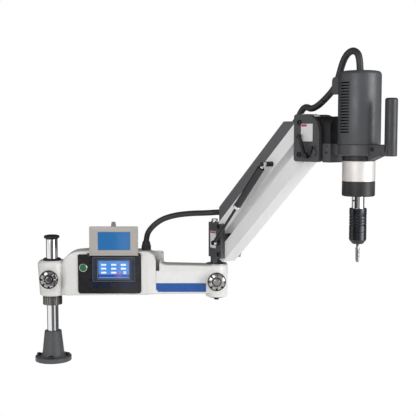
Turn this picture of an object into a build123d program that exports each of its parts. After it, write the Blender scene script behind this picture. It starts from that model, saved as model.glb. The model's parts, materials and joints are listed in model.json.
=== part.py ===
from build123d import *
from math import cos, sin, tan, radians, degrees, atan2, hypot, pi
import os

# Arm tapping machine: a column on a bolted foot carries a cast swing arm with its controls.
# A sprung parallelogram arm stands on the elbow of the casting and carries the motor head.
# Origin: column axis on the underside of the foot. +Z up, +X along the swing arm, mm.
# The upper arm is modelled in its own frame (+X outwards along the arm, -Y the near side)
# and then turned about the elbow to where it stands at rest.

# ---- reach and rest pose ----
REACH_SWING = 500.0      # column axis to elbow axis
PIVOT_FORWARD = 62.0     # elbow axis to the lower pivots of the links
LINK_LENGTH = 460.0      # pivot to pivot along a link
HEAD_OFFSET = 178.0      # head pivots to the spindle axis
ARM_TURN = -54.0         # rest angle of the upper arm about the elbow, degrees
ARM_LIFT = 41.0          # rest slope of the links, degrees
PIVOT_DROP = 82.8        # height between the upper and the lower pivots
UPPER_PIVOT_Z = 418.4    # height of the upper link's lower pivot
RUN_GAP = 0.3            # running gap between faces of different bodies
FIT_GAP = 0.05           # radial gap of a shaft in its bush

# ---- foot and column ----
FOOT_R = 55.0
FOOT_FLANGE_H = 14.0
FOOT_CONE_R = 30.0
FOOT_TOP_R = 25.5
FOOT_H = 92.0
FOOT_BOLT_PCD = 88.0
FOOT_BOLT_D = 8.0
FOOT_BOLT_HEAD_D = 13.0
FOOT_BOLT_HEAD_H = 8.0
FOOT_BOLT_BELOW = 22.0   # thread that goes into the bench
FOOT_BOLT_COUNT = 4
BOLT_HOLE_SPARE = 1.2    # radial clearance of a bolt in its cored hole, to line the foot up with the bench
COLUMN_D = 35.0
COLUMN_FLOOR = 4.0       # foot left closed under the column
COLUMN_TOP_Z = 373.0
CAP_D = 47.0
CAP_H = 12.0
CAP_SPIGOT_D = 16.0
CAP_SPIGOT_H = 14.0
COLLAR_D = 58.0
COLLAR_H = 24.5
COLLAR_TOP_Z = 198.0
COLLAR_RIBS = 26
COLLAR_RIB_W = 3.2
COLLAR_RIB_DEPTH = 1.6
COLLAR_NOTCH_H = 4.0

# ---- swing arm casting ----
BOSS_TOP_Z = 309.0
BOSS_BOTTOM_Z = 203.0
BOSS_RIM_R = 35.5
BOSS_TOP_R = 43.0
BOSS_BOTTOM_R = 37.5
BUSH_WALL = 3.5
BUSH_LENGTH = 30.0
WIPER_R = 27.6
WIPER_H = 6.0
BOX_HALF = 38.0          # control box, half depth
NECK_HALF = 31.0         # neck to the elbow, half depth
BOX_TOP_Z = 342.5
BOX_TOP_DROP = 3.0       # fall of the box's top from its left to its right end
BOX_TOP_X = (122.0, 302.0)
SHOULDER = ((34.0, 288.0), (37.0, 312.0), (62.0, 338.0))   # left end of the box, seen from the front
SHOULDER_R = (12.0, 30.0, 60.0)
CREST_R = 60.0
BOX_NOSE_X = 20.0        # the box ends in the column boss here
BOX_NOSE_R = 12.0
BOX_LEFT_X = 42.0
BOX_LEFT_R = 20.0
TAPER_X = (288.0, 322.0) # the box narrows to the neck here
TAPER_R = 60.0
STEP_R = 36.0            # rounding of the fall from the box's top to the neck
NECK_START_X = 333.0
NECK_TOP_Z = 298.5
ELBOW_NECK_Z = (210.0, 295.0)  # underside and top of the neck at the elbow
CASTING_END_X = REACH_SWING
BOX_BOTTOM_Z = 205.0
CAST_ROUND = 6.0
CAST_WALL = 6.0
ELBOW_BOSS_R = 33.5
ELBOW_TOP_Z = 296.5
ELBOW_BOTTOM_Z = 199.0
ELBOW_BORE_D = 34.0
CAVITY_X = (104.0, 328.0)
CAVITY_Z = (222.0, 322.0)
COVER_LAP = 10.0
COVER_T = 2.5
COVER_SCREW_D = 7.0
KNOB_D = 56.0
KNOB_T = 20.0
KNOB_PITS = 8            # shallow pits round the knob's face
KNOB_PIT_R = 3.4
KNOB_PIT_DEPTH = 1.6
KNOB_HUB_D = 25.0
KNOB_STUD_D = 10.0
KNOB_PAD_D = 34.0
KNOB_PAD_GAP = 1.0
COLUMN_KNOB_Z = 258.5
ELBOW_KNOB_Z = 250.0

# ---- control panel ----
PANEL_X = (84.3, 273.7)
PANEL_Z = (212.6, 331.4)
PANEL_T = 2.4
PANEL_CORNER = 9.0
SCREEN_X = (128.1, 256.8)
SCREEN_Z = (248.7, 323.8)
SCREEN_T = 4.5
GLASS_X = (146.0, 238.0)
GLASS_Z = (259.5, 312.0)
GLASS_SINK = 1.4         # glass sits this far behind the frame's front
STRIP_X = (129.0, 251.5)
STRIP_Z = (230.2, 247.4)
STRIP_T = 2.0
CATCH_X = (183.0, 200.5)
CATCH_Z = (234.6, 246.0)
CATCH_T = 5.0
PANEL_SCREW_AT = ((122.0, 306.0), (262.6, 306.0), (122.0, 254.5), (262.6, 254.5))
PANEL_SCREW_D = 6.0
BUTTON_X = 100.3
BUTTON_Z = 291.3
BUTTON_BEZEL_D = 24.5
BUTTON_D = 17.5
BUTTON_PROUD = 5.0
FLAP_AXIS_Z = 332.0
FLAP_AXIS_Y = -49.5
FLAP_X = (120.6, 266.0)
FLAP_LENGTH = 84.5
FLAP_T = 5.0
FLAP_WINDOW_X = (146.0, 242.5)
FLAP_WINDOW_H = (13.5, 67.8)
FLAP_WINDOW_T = 2.0
FLAP_LATCH_W = 15.4
FLAP_LATCH_H = 14.0
HINGE_PIN_D = 3.0
HINGE_BARREL_D = 7.0
HINGE_LUG_W = 6.0
GLAND_X = 286.6
GLAND_D = 29.0
GLAND_H = 27.0
CABLE_D = 17.0
MAINS_X = 300.0
MAINS_Z = 244.0
MAINS_D = 20.0
MAINS_H = 22.0

# ---- elbow post and bracket ----
WASHER_T = 3.0           # under the head of the retaining bolt
RETAINER_HEAD_R = 7.5
RETAINER_HEAD_H = 8.0
DISC_R = 31.5
DISC_T = 2.6
NECK_D = 27.0
NECK_BACK = 8.0
BRACKET_BOTTOM_Z = 319.0
BRACKET_TOP_Z = 424.0
BLOCK_BACK = -24.0
BLOCK_FRONT = 16.0
BLOCK_HALF = 14.0
FORK_START = 48.0
FORK_END = 72.0
FORK_HALF = 37.0
FORK_THROAT = 37.5
FORK_BOTTOM_Z = 324.0
PIN_D = 10.0
PIN_HEAD_D = 14.0
PIN_HEAD_H = 4.5
NUT_D = 22.0
NUT_H = 10.0

# ---- links ----
LINK_HALF = 22.4         # half width across the arm
LINK_WALL = 3.0
UPPER_LINK_UP = 21.6     # above and below its pivot line
UPPER_LINK_DOWN = 15.6
LOWER_LINK_UP = 22.0
LOWER_LINK_DOWN = 17.8
LINK_END_R = 23.1
FORK_SLOT_GAP = 0.8
DUCT_UP = 55.0
DUCT_WALL = 2.5
DUCT_BACK = -20.0        # vertical lower end, from the pivot
DUCT_END_UP = 4.0        # level upper end, above the head pivot
BUSH_R = 9.0
LINK_BUSH_PROUD = 0.4    # a link's bush stands out on each side by this

# ---- gas spring ----
SPRING_SIDE = 52.0       # plane of the spring, out from the arm's middle
SPRING_LOW = (-3.2, -47.4)     # lower anchor from the upper pivot
SPRING_ALONG = 292.6     # upper anchor along the upper link
SPRING_ACROSS = -1.7
ROD_D = 8.0
CYLINDER_D = 20.0
CYLINDER_BORE = 16.6
CYLINDER_LENGTH = 160.0
CYLINDER_HEAD = 14.0     # from the upper eye to the tube
ROD_LENGTH = 262.0
EYE_D = 15.0
EYE_T = 9.0
STUD_D = 8.0

# ---- head carrier ----
PLATE_IN = 26.0
PLATE_T = 10.0
PLATE_X = (-22.0, 74.0)  # from the head pivots
PLATE_Z = (-100.5, 21.0)
PLATE_ARC_R = 50.0
HOUSING_X = (25.0, 75.0)
HOUSING_R = 25.7
HOUSING_BOTTOM = -52.0
SWIVEL_Z = -10.5         # swivel axis, below the upper head pivot
SWIVEL_SHAFT_D = 30.0
LEVER_AT = (31.5, -84.5)
LEVER_TIP = (-20.0, 50.0)      # from its hub
LEVER_HUB_D = 15.0
LEVER_HALF = (4.5, 3.0)        # half width at the hub and at the end
LEVER_END_R = 5.5
LEVER_STUD_D = 8.0
CLAMP_BOSS_AT = (54.6, -76.0)  # boss of the swivel clamp on the front plate
CLAMP_BOSS_D = 20.0
CLAMP_BOSS_H = 4.0

# ---- motor head, heights from the upper head pivot ----
BRACKET_HALF = 26.0
BRACKET_X = (76.0, 105.0)
BRACKET_ROUND = 25.7
LUG_HALF = 17.5
BRACKET_FOOT_Z = (-101.0, -53.0)
FLANGE_R = 52.0
FLANGE_Z = (-81.6, -54.2)
COVER_R = 52.5
COVER_TOP = 124.0
COVER_SHELL = 3.0
VENT_COUNT = 18
VENT_PITCH = 7.0
VENT_H = 3.2
VENT_FIRST = -24.5
VENT_W = 29.0
SEAT_Z = -94.5
SEAT_R = 40.5
SEAT_BORE_R = 28.0
GUSSET_OUT = 74.0        # gusset from the seat to the grip arm, from the spindle
GEAR_R = 40.5
GEAR_BOTTOM = -144.5
NOSE_BOTTOM = -181.5
SPINDLE_R = 15.5
SPINDLE_BOTTOM = -211.6
SPINDLE_HOLE_R = 2.6     # cross hole for the wrench
CHUCK_R = 21.3
CHUCK_GROOVES = 4
CHUCK_GROOVE_TOP = -231.0
CHUCK_GROOVE_PITCH = 7.4
CHUCK_BOTTOM = -295.0
CHUCK_TIP = -300.0
SLEEVE_TOP = -270.0
SLEEVE_CORE_R = 16.0
TAP_R = 5.3
TAP_SHANK_R = 3.5
TAP_HELD = 30.0          # length of the tap inside the chuck
TAP_FLUTE_R = 1.9
TAP_SHOULDER = -311.0
TAP_BOTTOM = -346.0
TAP_FLUTES = 4
GRIP_OUT = 103.0
GRIP_D = 30.0
GRIP_TOP = 56.0
GRIP_ARM_HALF = 15.0
MOTOR_CAN_R = 40.0
MOTOR_CAN_SPACE = 30.0   # from the top of the motor to the top of its cover
STAY_LEFT = 93.0         # cable stay on the motor cover, from the head pivots
STAY_Z = (69.0, 113.0)
STAY_T = 3.0
STAY_ROUND = 10.0
CLIP_AT = (97.0, 97.0)
CLIP_SLOPE = 65.0
CLIP_L = 6.0
CLIP_WALL = 3.0

# ---- cable routes ----
# arm cable: its points between the gland and the duct
ARM_ROUTE = ((302.0, 0.0, 408.0), (333.0, 0.0, 433.0), (376.0, 0.0, 446.0), (425.0, 0.0, 451.0),
             (470.0, 0.0, 452.0), (503.0, -7.0, 455.0))
# link cable and motor cable: outwards and up from the upper head pivot, in the arm's plane
LINK_ROUTE = ((-76.0, -15.7), (-50.0, 6.0), (-22.0, 46.0), (14.0, 31.0), (52.0, 56.5))
MOTOR_ROUTE = ((52.0, 56.5), (90.0, 82.0), (104.0, 112.0), (118.0, 150.0), (134.0, 170.0), (157.0, 177.0),
               (178.0, 159.0), (178.0, 113.0))

arm_place = Pos(REACH_SWING, 0, 0) * Rot(0, 0, ARM_TURN)
lift = radians(ARM_LIFT)
lower_pivot_z = UPPER_PIVOT_Z - PIVOT_DROP
head_x = PIVOT_FORWARD + LINK_LENGTH * cos(lift)
head_z = UPPER_PIVOT_Z + LINK_LENGTH * sin(lift)
spindle_x = head_x + HEAD_OFFSET
up = (Align.CENTER, Align.CENTER, Align.MIN)


def outline(points, radius):
    return make_face(FilletPolyline(*points, radius=radius, close=True))


def rectangle(x_range, z_range, radius):
    x0, x1 = x_range
    z0, z1 = z_range
    return outline([(x0, z0), (x1, z0), (x1, z1), (x0, z1)], radius)


def slab(face, y_low, y_high):
    # a shape drawn in X and Z, as thick as from y_low to y_high
    return Pos(0, y_high, 0) * extrude(Plane.XZ * face, amount=y_high - y_low)


def plan(face, z_low, z_high):
    return Pos(0, 0, z_low) * extrude(face, amount=z_high - z_low)


def turned(points):
    # (radius, height) points turned about Z
    return revolve(Plane.XZ * Polygon(*points, align=None), Axis.Z)


def across(radius, x, z, y_low, y_high):
    # round bar along Y
    return slab(Pos(x, z) * Circle(radius), y_low, y_high)


def along(radius, y, z, x_low, x_high):
    # round bar along X
    bar = Rot(0, 90, 0) * Cylinder(radius, x_high - x_low, align=up)
    return Pos(x_low, y, z) * bar


def upright(radius, x, y, z_low, z_high):
    return Pos(x, y, z_low) * Cylinder(radius, z_high - z_low, align=up)


def socket_screw(head_d, head_h, shank_d, shank_l):
    # head above z = 0, shank below, hexagon socket in the head
    head = chamfer(Cylinder(head_d / 2, head_h, align=up).edges().group_by(Axis.Z)[-1], 0.6)
    socket = Pos(0, 0, head_h * 0.45) * extrude(RegularPolygon(head_d * 0.27, 6), head_h)
    shank = Pos(0, 0, -shank_l) * Cylinder(shank_d / 2, shank_l, align=up)
    return head - socket + shank


# ---------------- stand ----------------
def base_flange():
    body = turned([(0, 0), (FOOT_R, 0), (FOOT_R, FOOT_FLANGE_H - 3), (FOOT_R - 3, FOOT_FLANGE_H),
                   (FOOT_CONE_R + 5, FOOT_FLANGE_H), (FOOT_CONE_R, FOOT_FLANGE_H + 7),
                   (FOOT_TOP_R, FOOT_H - 2), (FOOT_TOP_R - 2, FOOT_H), (0, FOOT_H)])
    body -= upright(COLUMN_D / 2, 0, 0, COLUMN_FLOOR, FOOT_H)
    hole = upright(FOOT_BOLT_D / 2 + BOLT_HOLE_SPARE, 0, 0, 0, FOOT_FLANGE_H + 4)
    for place in PolarLocations(FOOT_BOLT_PCD / 2, FOOT_BOLT_COUNT):
        body -= place * hole
    return body


def base_bolts():
    bolt = Pos(0, 0, FOOT_FLANGE_H) * socket_screw(FOOT_BOLT_HEAD_D, FOOT_BOLT_HEAD_H, FOOT_BOLT_D,
                                                  FOOT_FLANGE_H + FOOT_BOLT_BELOW)
    return [place * bolt for place in PolarLocations(FOOT_BOLT_PCD / 2, FOOT_BOLT_COUNT)]


def column():
    bar = upright(COLUMN_D / 2, 0, 0, COLUMN_FLOOR, COLUMN_TOP_Z)
    return bar - upright(CAP_SPIGOT_D / 2, 0, 0, COLUMN_TOP_Z - CAP_SPIGOT_H, COLUMN_TOP_Z)


def column_cap():
    disc = upright(CAP_D / 2, 0, 0, COLUMN_TOP_Z, COLUMN_TOP_Z + CAP_H)
    disc = fillet(disc.edges().group_by(Axis.Z)[-1], CAP_H * 0.45)
    disc = fillet(disc.edges().group_by(Axis.Z)[0], 1.5)
    return disc + upright(CAP_SPIGOT_D / 2, 0, 0, COLUMN_TOP_Z - CAP_SPIGOT_H, COLUMN_TOP_Z)


def stop_collar():
    low = COLLAR_TOP_Z - COLLAR_H
    ring = turned([(COLUMN_D / 2, low), (COLLAR_D / 2 - 2, low), (COLLAR_D / 2, low + 2),
                   (COLLAR_D / 2, COLLAR_TOP_Z), (COLUMN_D / 2, COLLAR_TOP_Z)])
    groove = Box(COLLAR_RIB_DEPTH * 2, COLLAR_RIB_W, COLLAR_H, align=up)
    notch = Box(16, COLLAR_RIB_W, COLLAR_NOTCH_H, align=up)
    for place in PolarLocations(COLLAR_D / 2, COLLAR_RIBS):
        ring -= place * Pos(0, 0, low) * groove
        ring -= place * Pos(0, 0, COLLAR_TOP_Z - COLLAR_NOTCH_H) * notch
    ring -= across(3.0, 0, COLLAR_TOP_Z - COLLAR_H * 0.55, 0, COLLAR_D)
    return ring


# ---------------- swing arm ----------------
def knob_pad(x, z, face_y):
    return across(KNOB_PAD_D / 2, x, z, face_y, 0)


def casting_side():
    # the casting seen from the front
    points = [(0, BOX_BOTTOM_Z), (0, SHOULDER[0][1]), *SHOULDER, (BOX_TOP_X[0], BOX_TOP_Z),
              (BOX_TOP_X[1], BOX_TOP_Z - BOX_TOP_DROP), (NECK_START_X, NECK_TOP_Z),
              (CASTING_END_X + 1, ELBOW_NECK_Z[1]), (CASTING_END_X + 1, ELBOW_NECK_Z[0])]
    return outline(points, [1, 1, *SHOULDER_R, CREST_R, STEP_R, STEP_R, 1, 1])


def casting_plan():
    # the casting seen from above
    half = [(BOX_LEFT_X, BOX_HALF), (TAPER_X[0], BOX_HALF), (TAPER_X[1], NECK_HALF), (CASTING_END_X, NECK_HALF)]
    points = [(BOX_NOSE_X, 0)] + half + [(x, -y) for x, y in reversed(half)]
    rounds = [BOX_LEFT_R, TAPER_R, TAPER_R, BOX_NOSE_R]
    return outline(points, [BOX_NOSE_R] + rounds + rounds[::-1])


def arm_casting():
    spare = CAST_ROUND
    body = slab(casting_side(), -BOX_HALF - spare, BOX_HALF + spare) & plan(
        casting_plan(), BOX_BOTTOM_Z - spare, BOX_TOP_Z + spare)
    rim = body.edges() - body.edges().filter_by(Axis.Y) - body.edges().filter_by(Axis.Z)
    body = fillet(rim, CAST_ROUND)
    body += turned([(0, BOSS_BOTTOM_Z), (BOSS_BOTTOM_R - 2, BOSS_BOTTOM_Z), (BOSS_BOTTOM_R, BOSS_BOTTOM_Z + 2),
                    (BOSS_TOP_R, BOSS_TOP_Z - 11), (BOSS_TOP_R - 2, BOSS_TOP_Z - 5),
                    (BOSS_RIM_R, BOSS_TOP_Z), (0, BOSS_TOP_Z)])
    elbow = upright(ELBOW_BOSS_R, 0, 0, ELBOW_BOTTOM_Z, ELBOW_TOP_Z)
    elbow = chamfer(elbow.edges().filter_by(GeomType.CIRCLE), 2)
    body += Pos(REACH_SWING, 0, 0) * elbow
    body += knob_pad(0, COLUMN_KNOB_Z, -BOSS_TOP_R - 3)
    body += knob_pad(REACH_SWING, ELBOW_KNOB_Z, -ELBOW_BOSS_R - 3)
    body -= upright(COLUMN_D / 2 + BUSH_WALL, 0, 0, BOSS_BOTTOM_Z, BOSS_TOP_Z)
    body -= upright(ELBOW_BORE_D / 2 + BUSH_WALL, REACH_SWING, 0, ELBOW_BOTTOM_Z, ELBOW_TOP_Z)
    body -= across(KNOB_STUD_D / 2 + FIT_GAP, 0, COLUMN_KNOB_Z, -BOSS_TOP_R - 3, 0)
    body -= across(KNOB_STUD_D / 2 + FIT_GAP, REACH_SWING, ELBOW_KNOB_Z, -ELBOW_BOSS_R - 3, 0)
    body -= slab(rectangle(CAVITY_X, CAVITY_Z, 8), CAST_WALL - BOX_HALF, BOX_HALF)
    body -= slab(rectangle(GLASS_X, GLASS_Z, 2), -BOX_HALF, 0)
    body -= across(BUTTON_D / 2 + 2, BUTTON_X, BUTTON_Z, -BOX_HALF, 5 - BOX_HALF)
    body -= upright(CABLE_D / 2 + 1, GLAND_X, 0, CAVITY_Z[1] - 5, BOX_TOP_Z + 5)
    return body


def bush(bore_d, x, z_low):
    tube = upright(bore_d / 2 + BUSH_WALL, x, 0, z_low, z_low + BUSH_LENGTH)
    return tube - upright(bore_d / 2 + FIT_GAP, x, 0, z_low, z_low + BUSH_LENGTH)


def thrust_flange():
    low = COLLAR_TOP_Z + RUN_GAP
    ring = upright(COLUMN_D / 2 + BUSH_WALL + 6, 0, 0, low, BOSS_BOTTOM_Z)
    return ring - upright(COLUMN_D / 2 + FIT_GAP, 0, 0, low, BOSS_BOTTOM_Z)


def arm_bushes():
    return [bush(COLUMN_D, 0, BOSS_BOTTOM_Z) + thrust_flange(), bush(COLUMN_D, 0, BOSS_TOP_Z - BUSH_LENGTH),
            bush(ELBOW_BORE_D, REACH_SWING, ELBOW_BOTTOM_Z),
            bush(ELBOW_BORE_D, REACH_SWING, ELBOW_TOP_Z - BUSH_LENGTH)]


def column_wiper():
    inner = COLUMN_D / 2 + FIT_GAP
    return turned([(inner, BOSS_TOP_Z), (WIPER_R, BOSS_TOP_Z), (WIPER_R - 1, BOSS_TOP_Z + WIPER_H - 1),
                   (WIPER_R - 3, BOSS_TOP_Z + WIPER_H), (inner, BOSS_TOP_Z + WIPER_H - 2)])


panel_back = -BOX_HALF
panel_front = -BOX_HALF - PANEL_T


def control_panel():
    face = outline([(PANEL_X[0], PANEL_Z[0]), (PANEL_X[1], PANEL_Z[0]), (PANEL_X[1], PANEL_Z[1]),
                    (PANEL_X[0], PANEL_Z[1])], [PANEL_CORNER, PANEL_CORNER, 4, 4])
    plate = slab(face, panel_front, panel_back)
    plate -= slab(rectangle(GLASS_X, GLASS_Z, 2), panel_front, panel_back)
    plate -= across(BUTTON_D / 2 + 2, BUTTON_X, BUTTON_Z, panel_front, panel_back)
    for x, z in PANEL_SCREW_AT:
        plate -= across(PANEL_SCREW_D / 4, x, z, panel_front, panel_back)
    return plate


screen_front = panel_front - SCREEN_T


def touchscreen_frame():
    frame = slab(rectangle(SCREEN_X, SCREEN_Z, 4), screen_front, panel_front)
    frame = chamfer(frame.faces().sort_by(Axis.Y)[0].edges(), 1.2)
    return frame - slab(rectangle(GLASS_X, GLASS_Z, 2), screen_front, panel_front)


def touchscreen_display():
    back = panel_back + 6
    return slab(rectangle((GLASS_X[0] + 0.2, GLASS_X[1] - 0.2), (GLASS_Z[0] + 0.2, GLASS_Z[1] - 0.2), 2),
                screen_front + GLASS_SINK, back)


def function_strip():
    return slab(rectangle(STRIP_X, STRIP_Z, 2), panel_front - STRIP_T, panel_front)


def flap_catch():
    front = panel_front - STRIP_T - CATCH_T
    block = slab(rectangle(CATCH_X, CATCH_Z, 2), front, panel_front - STRIP_T)
    mouth = slab(rectangle((CATCH_X[0] + 5, CATCH_X[1] - 5), (CATCH_Z[0] + 3, CATCH_Z[1] + 5), 1),
                 front, front + 3)
    return block - mouth


def panel_screws():
    screw = Rot(90, 0, 0) * socket_screw(PANEL_SCREW_D, 2.5, PANEL_SCREW_D / 2, PANEL_T)
    return [Pos(x, panel_front, z) * screw for x, z in PANEL_SCREW_AT]


def flap_hinge():
    lugs = []
    lug_x = (FLAP_X[0] - HINGE_LUG_W - RUN_GAP, FLAP_X[1] + RUN_GAP)
    for x in lug_x:
        lug = along(HINGE_BARREL_D / 2, FLAP_AXIS_Y, FLAP_AXIS_Z, x, x + HINGE_LUG_W)
        arm = Pos(x, panel_front, FLAP_AXIS_Z - 8) * Box(
            HINGE_LUG_W, panel_front - FLAP_AXIS_Y, HINGE_BARREL_D + 4.5,
            align=(Align.MIN, Align.MAX, Align.MIN))
        lugs.append(lug + arm)
    pin = along(HINGE_PIN_D / 2, FLAP_AXIS_Y, FLAP_AXIS_Z, lug_x[0], lug_x[1] + HINGE_LUG_W)
    return lugs[0] + lugs[1] + pin


def flap_frame():
    low = FLAP_AXIS_Z + HINGE_BARREL_D / 2 - 2
    high = FLAP_AXIS_Z + FLAP_LENGTH
    y_low = FLAP_AXIS_Y - FLAP_T / 2
    y_high = FLAP_AXIS_Y + FLAP_T / 2
    plate = slab(rectangle(FLAP_X, (low, high), 4), y_low, y_high)
    window_z = (FLAP_AXIS_Z + FLAP_WINDOW_H[0], FLAP_AXIS_Z + FLAP_WINDOW_H[1])
    plate -= slab(rectangle(FLAP_WINDOW_X, window_z, 2), y_low, y_high)
    inner_x = (FLAP_WINDOW_X[0] - 3, FLAP_WINDOW_X[1] + 3)
    plate -= slab(rectangle(inner_x, (window_z[0] - 3, window_z[1] + 3), 2),
                  FLAP_AXIS_Y - FLAP_WINDOW_T / 2, FLAP_AXIS_Y + FLAP_WINDOW_T / 2)
    plate += along(HINGE_BARREL_D / 2, FLAP_AXIS_Y, FLAP_AXIS_Z, FLAP_X[0], FLAP_X[1])
    return plate - along(HINGE_PIN_D / 2 + FIT_GAP, FLAP_AXIS_Y, FLAP_AXIS_Z, FLAP_X[0], FLAP_X[1])


def flap_window():
    window_z = (FLAP_AXIS_Z + FLAP_WINDOW_H[0] - 2.9, FLAP_AXIS_Z + FLAP_WINDOW_H[1] + 2.9)
    return slab(rectangle((FLAP_WINDOW_X[0] - 2.9, FLAP_WINDOW_X[1] + 2.9), window_z, 2),
                FLAP_AXIS_Y - FLAP_WINDOW_T / 2, FLAP_AXIS_Y + FLAP_WINDOW_T / 2)


def flap_latch():
    middle = (FLAP_X[0] + FLAP_X[1]) / 2
    low = FLAP_AXIS_Z + FLAP_LENGTH
    tab = slab(outline([(middle - FLAP_LATCH_W / 2, low), (middle + FLAP_LATCH_W / 2, low),
                        (middle + FLAP_LATCH_W / 2 - 2, low + FLAP_LATCH_H),
                        (middle - FLAP_LATCH_W / 2 + 2, low + FLAP_LATCH_H)], [0.5, 0.5, 3, 3]),
               FLAP_AXIS_Y - 1.2, FLAP_AXIS_Y + 1.2)
    return tab + across(4.5, middle, low + FLAP_LATCH_H / 2, FLAP_AXIS_Y + 1.2, FLAP_AXIS_Y + 6)


def button_bezel():
    ring = across(BUTTON_BEZEL_D / 2, BUTTON_X, BUTTON_Z, panel_front - 3, panel_front)
    ring = chamfer(ring.faces().sort_by(Axis.Y)[0].edges(), 1.2)
    return ring - across(BUTTON_D / 2 + RUN_GAP, BUTTON_X, BUTTON_Z, panel_front - 3, panel_front)


def start_button():
    cap = across(BUTTON_D / 2, BUTTON_X, BUTTON_Z, panel_front - BUTTON_PROUD, panel_back)
    return fillet(cap.faces().sort_by(Axis.Y)[0].edges(), 1.5)


def gland(d, h, bore):
    # screwed cable gland standing on z = 0, with a hexagon and a domed nut
    body = Cylinder(d / 2, h * 0.3, align=up)
    body = chamfer(body.edges().group_by(Axis.Z)[-1], 0.8)
    body += Pos(0, 0, h * 0.3) * extrude(RegularPolygon(d * 0.5, 6), h * 0.22)
    dome = turned([(0, 0), (d * 0.44, 0), (d * 0.44, h * 0.2), (d * 0.34, h * 0.48), (0, h * 0.48)])
    body += Pos(0, 0, h * 0.52) * dome
    return body - Cylinder(bore / 2, h, align=up)


def box_top_at(x):
    return BOX_TOP_Z - BOX_TOP_DROP * (x - BOX_TOP_X[0]) / (BOX_TOP_X[1] - BOX_TOP_X[0])


gland_z = box_top_at(GLAND_X) + 0.25


def cable_gland():
    return Pos(GLAND_X, 0, gland_z) * gland(GLAND_D, GLAND_H, CABLE_D)


def rear_cover():
    x_range = (CAVITY_X[0] - COVER_LAP, CAVITY_X[1] + COVER_LAP)
    z_range = (CAVITY_Z[0] - COVER_LAP, CAVITY_Z[1] + COVER_LAP)
    plate = slab(rectangle(x_range, z_range, 8), BOX_HALF, BOX_HALF + COVER_T)
    for x, z in cover_screw_places():
        plate -= across(COVER_SCREW_D / 4, x, z, BOX_HALF, BOX_HALF + COVER_T)
    return plate - across(MAINS_D / 2 - 4, MAINS_X, MAINS_Z, BOX_HALF, BOX_HALF + COVER_T)


def cover_screw_places():
    edge = COVER_LAP / 2
    columns = (CAVITY_X[0] - edge, (CAVITY_X[0] + CAVITY_X[1]) / 2, CAVITY_X[1] + edge)
    return [(x, z) for x in columns for z in (CAVITY_Z[0] - edge, CAVITY_Z[1] + edge)]


def rear_cover_screws():
    screw = Rot(-90, 0, 0) * socket_screw(COVER_SCREW_D, COVER_SCREW_D * 0.4, COVER_SCREW_D / 2, COVER_T)
    return [Pos(x, BOX_HALF + COVER_T, z) * screw for x, z in cover_screw_places()]


def mains_gland():
    return Pos(MAINS_X, BOX_HALF + COVER_T, MAINS_Z) * Rot(-90, 0, 0) * gland(MAINS_D, MAINS_H, 9)


def clamp_knob():
    # turned about Z here: face up at z = KNOB_T
    rim = KNOB_D / 2
    hub = KNOB_HUB_D / 2
    body = turned([(0, 0), (KNOB_PAD_D / 2 - 1, 0), (rim - 4, 4), (rim, 7), (rim, KNOB_T - 4),
                   (rim - 3, KNOB_T - 1), (hub + 6, KNOB_T - 1), (hub + 2, KNOB_T - 5), (hub, KNOB_T - 5),
                   (hub, KNOB_T - 1), (hub - 1, KNOB_T), (0, KNOB_T)])
    pit = Pos(0, 0, KNOB_T - 1 - KNOB_PIT_DEPTH) * Cylinder(KNOB_PIT_R, KNOB_T, align=up)
    for place in PolarLocations((KNOB_D + KNOB_HUB_D) / 4, KNOB_PITS):
        body -= place * pit
    return body


def placed_knob(x, z, pad_y, stud_end):
    knob = Pos(x, pad_y - KNOB_PAD_GAP, z) * Rot(90, 0, 0) * clamp_knob()
    return knob + across(KNOB_STUD_D / 2, x, z, pad_y - KNOB_PAD_GAP - 2, stud_end)


def column_knob():
    return placed_knob(0, COLUMN_KNOB_Z, -BOSS_TOP_R - 3, -COLUMN_D / 2 - BUSH_WALL - 0.5)


def elbow_knob():
    return placed_knob(REACH_SWING, ELBOW_KNOB_Z, -ELBOW_BOSS_R - 3, -ELBOW_BORE_D / 2 - BUSH_WALL - 0.5)


# ---------------- elbow, drawn in the upper arm's frame ----------------
def post_shaft():
    disc_low = ELBOW_TOP_Z + RUN_GAP
    shaft = upright(ELBOW_BORE_D / 2, 0, 0, ELBOW_BOTTOM_Z, disc_low)
    disc = upright(DISC_R, 0, 0, disc_low, disc_low + DISC_T)
    disc = chamfer(disc.edges().group_by(Axis.Z)[-1], 0.8)
    neck = upright(NECK_D / 2, -NECK_BACK, 0, disc_low + DISC_T, BRACKET_BOTTOM_Z)
    finger_low = disc_low + DISC_T
    finger = slab(Polygon((4, finger_low + 11), (9, finger_low + 11), (24, finger_low), (17, finger_low),
                          align=None), -3, 3)
    return shaft + disc + neck + finger


def retaining_bolt():
    top = ELBOW_BOTTOM_Z - RUN_GAP
    washer = upright(ELBOW_BORE_D / 2 + 6, 0, 0, top - WASHER_T, top)
    head = extrude(RegularPolygon(RETAINER_HEAD_R, 6), RETAINER_HEAD_H)
    head = Pos(0, 0, top - WASHER_T - RETAINER_HEAD_H) * head
    spigot = upright(RETAINER_HEAD_R + 0.5, 0, 0, top, ELBOW_BOTTOM_Z)
    return washer + head + spigot


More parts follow.
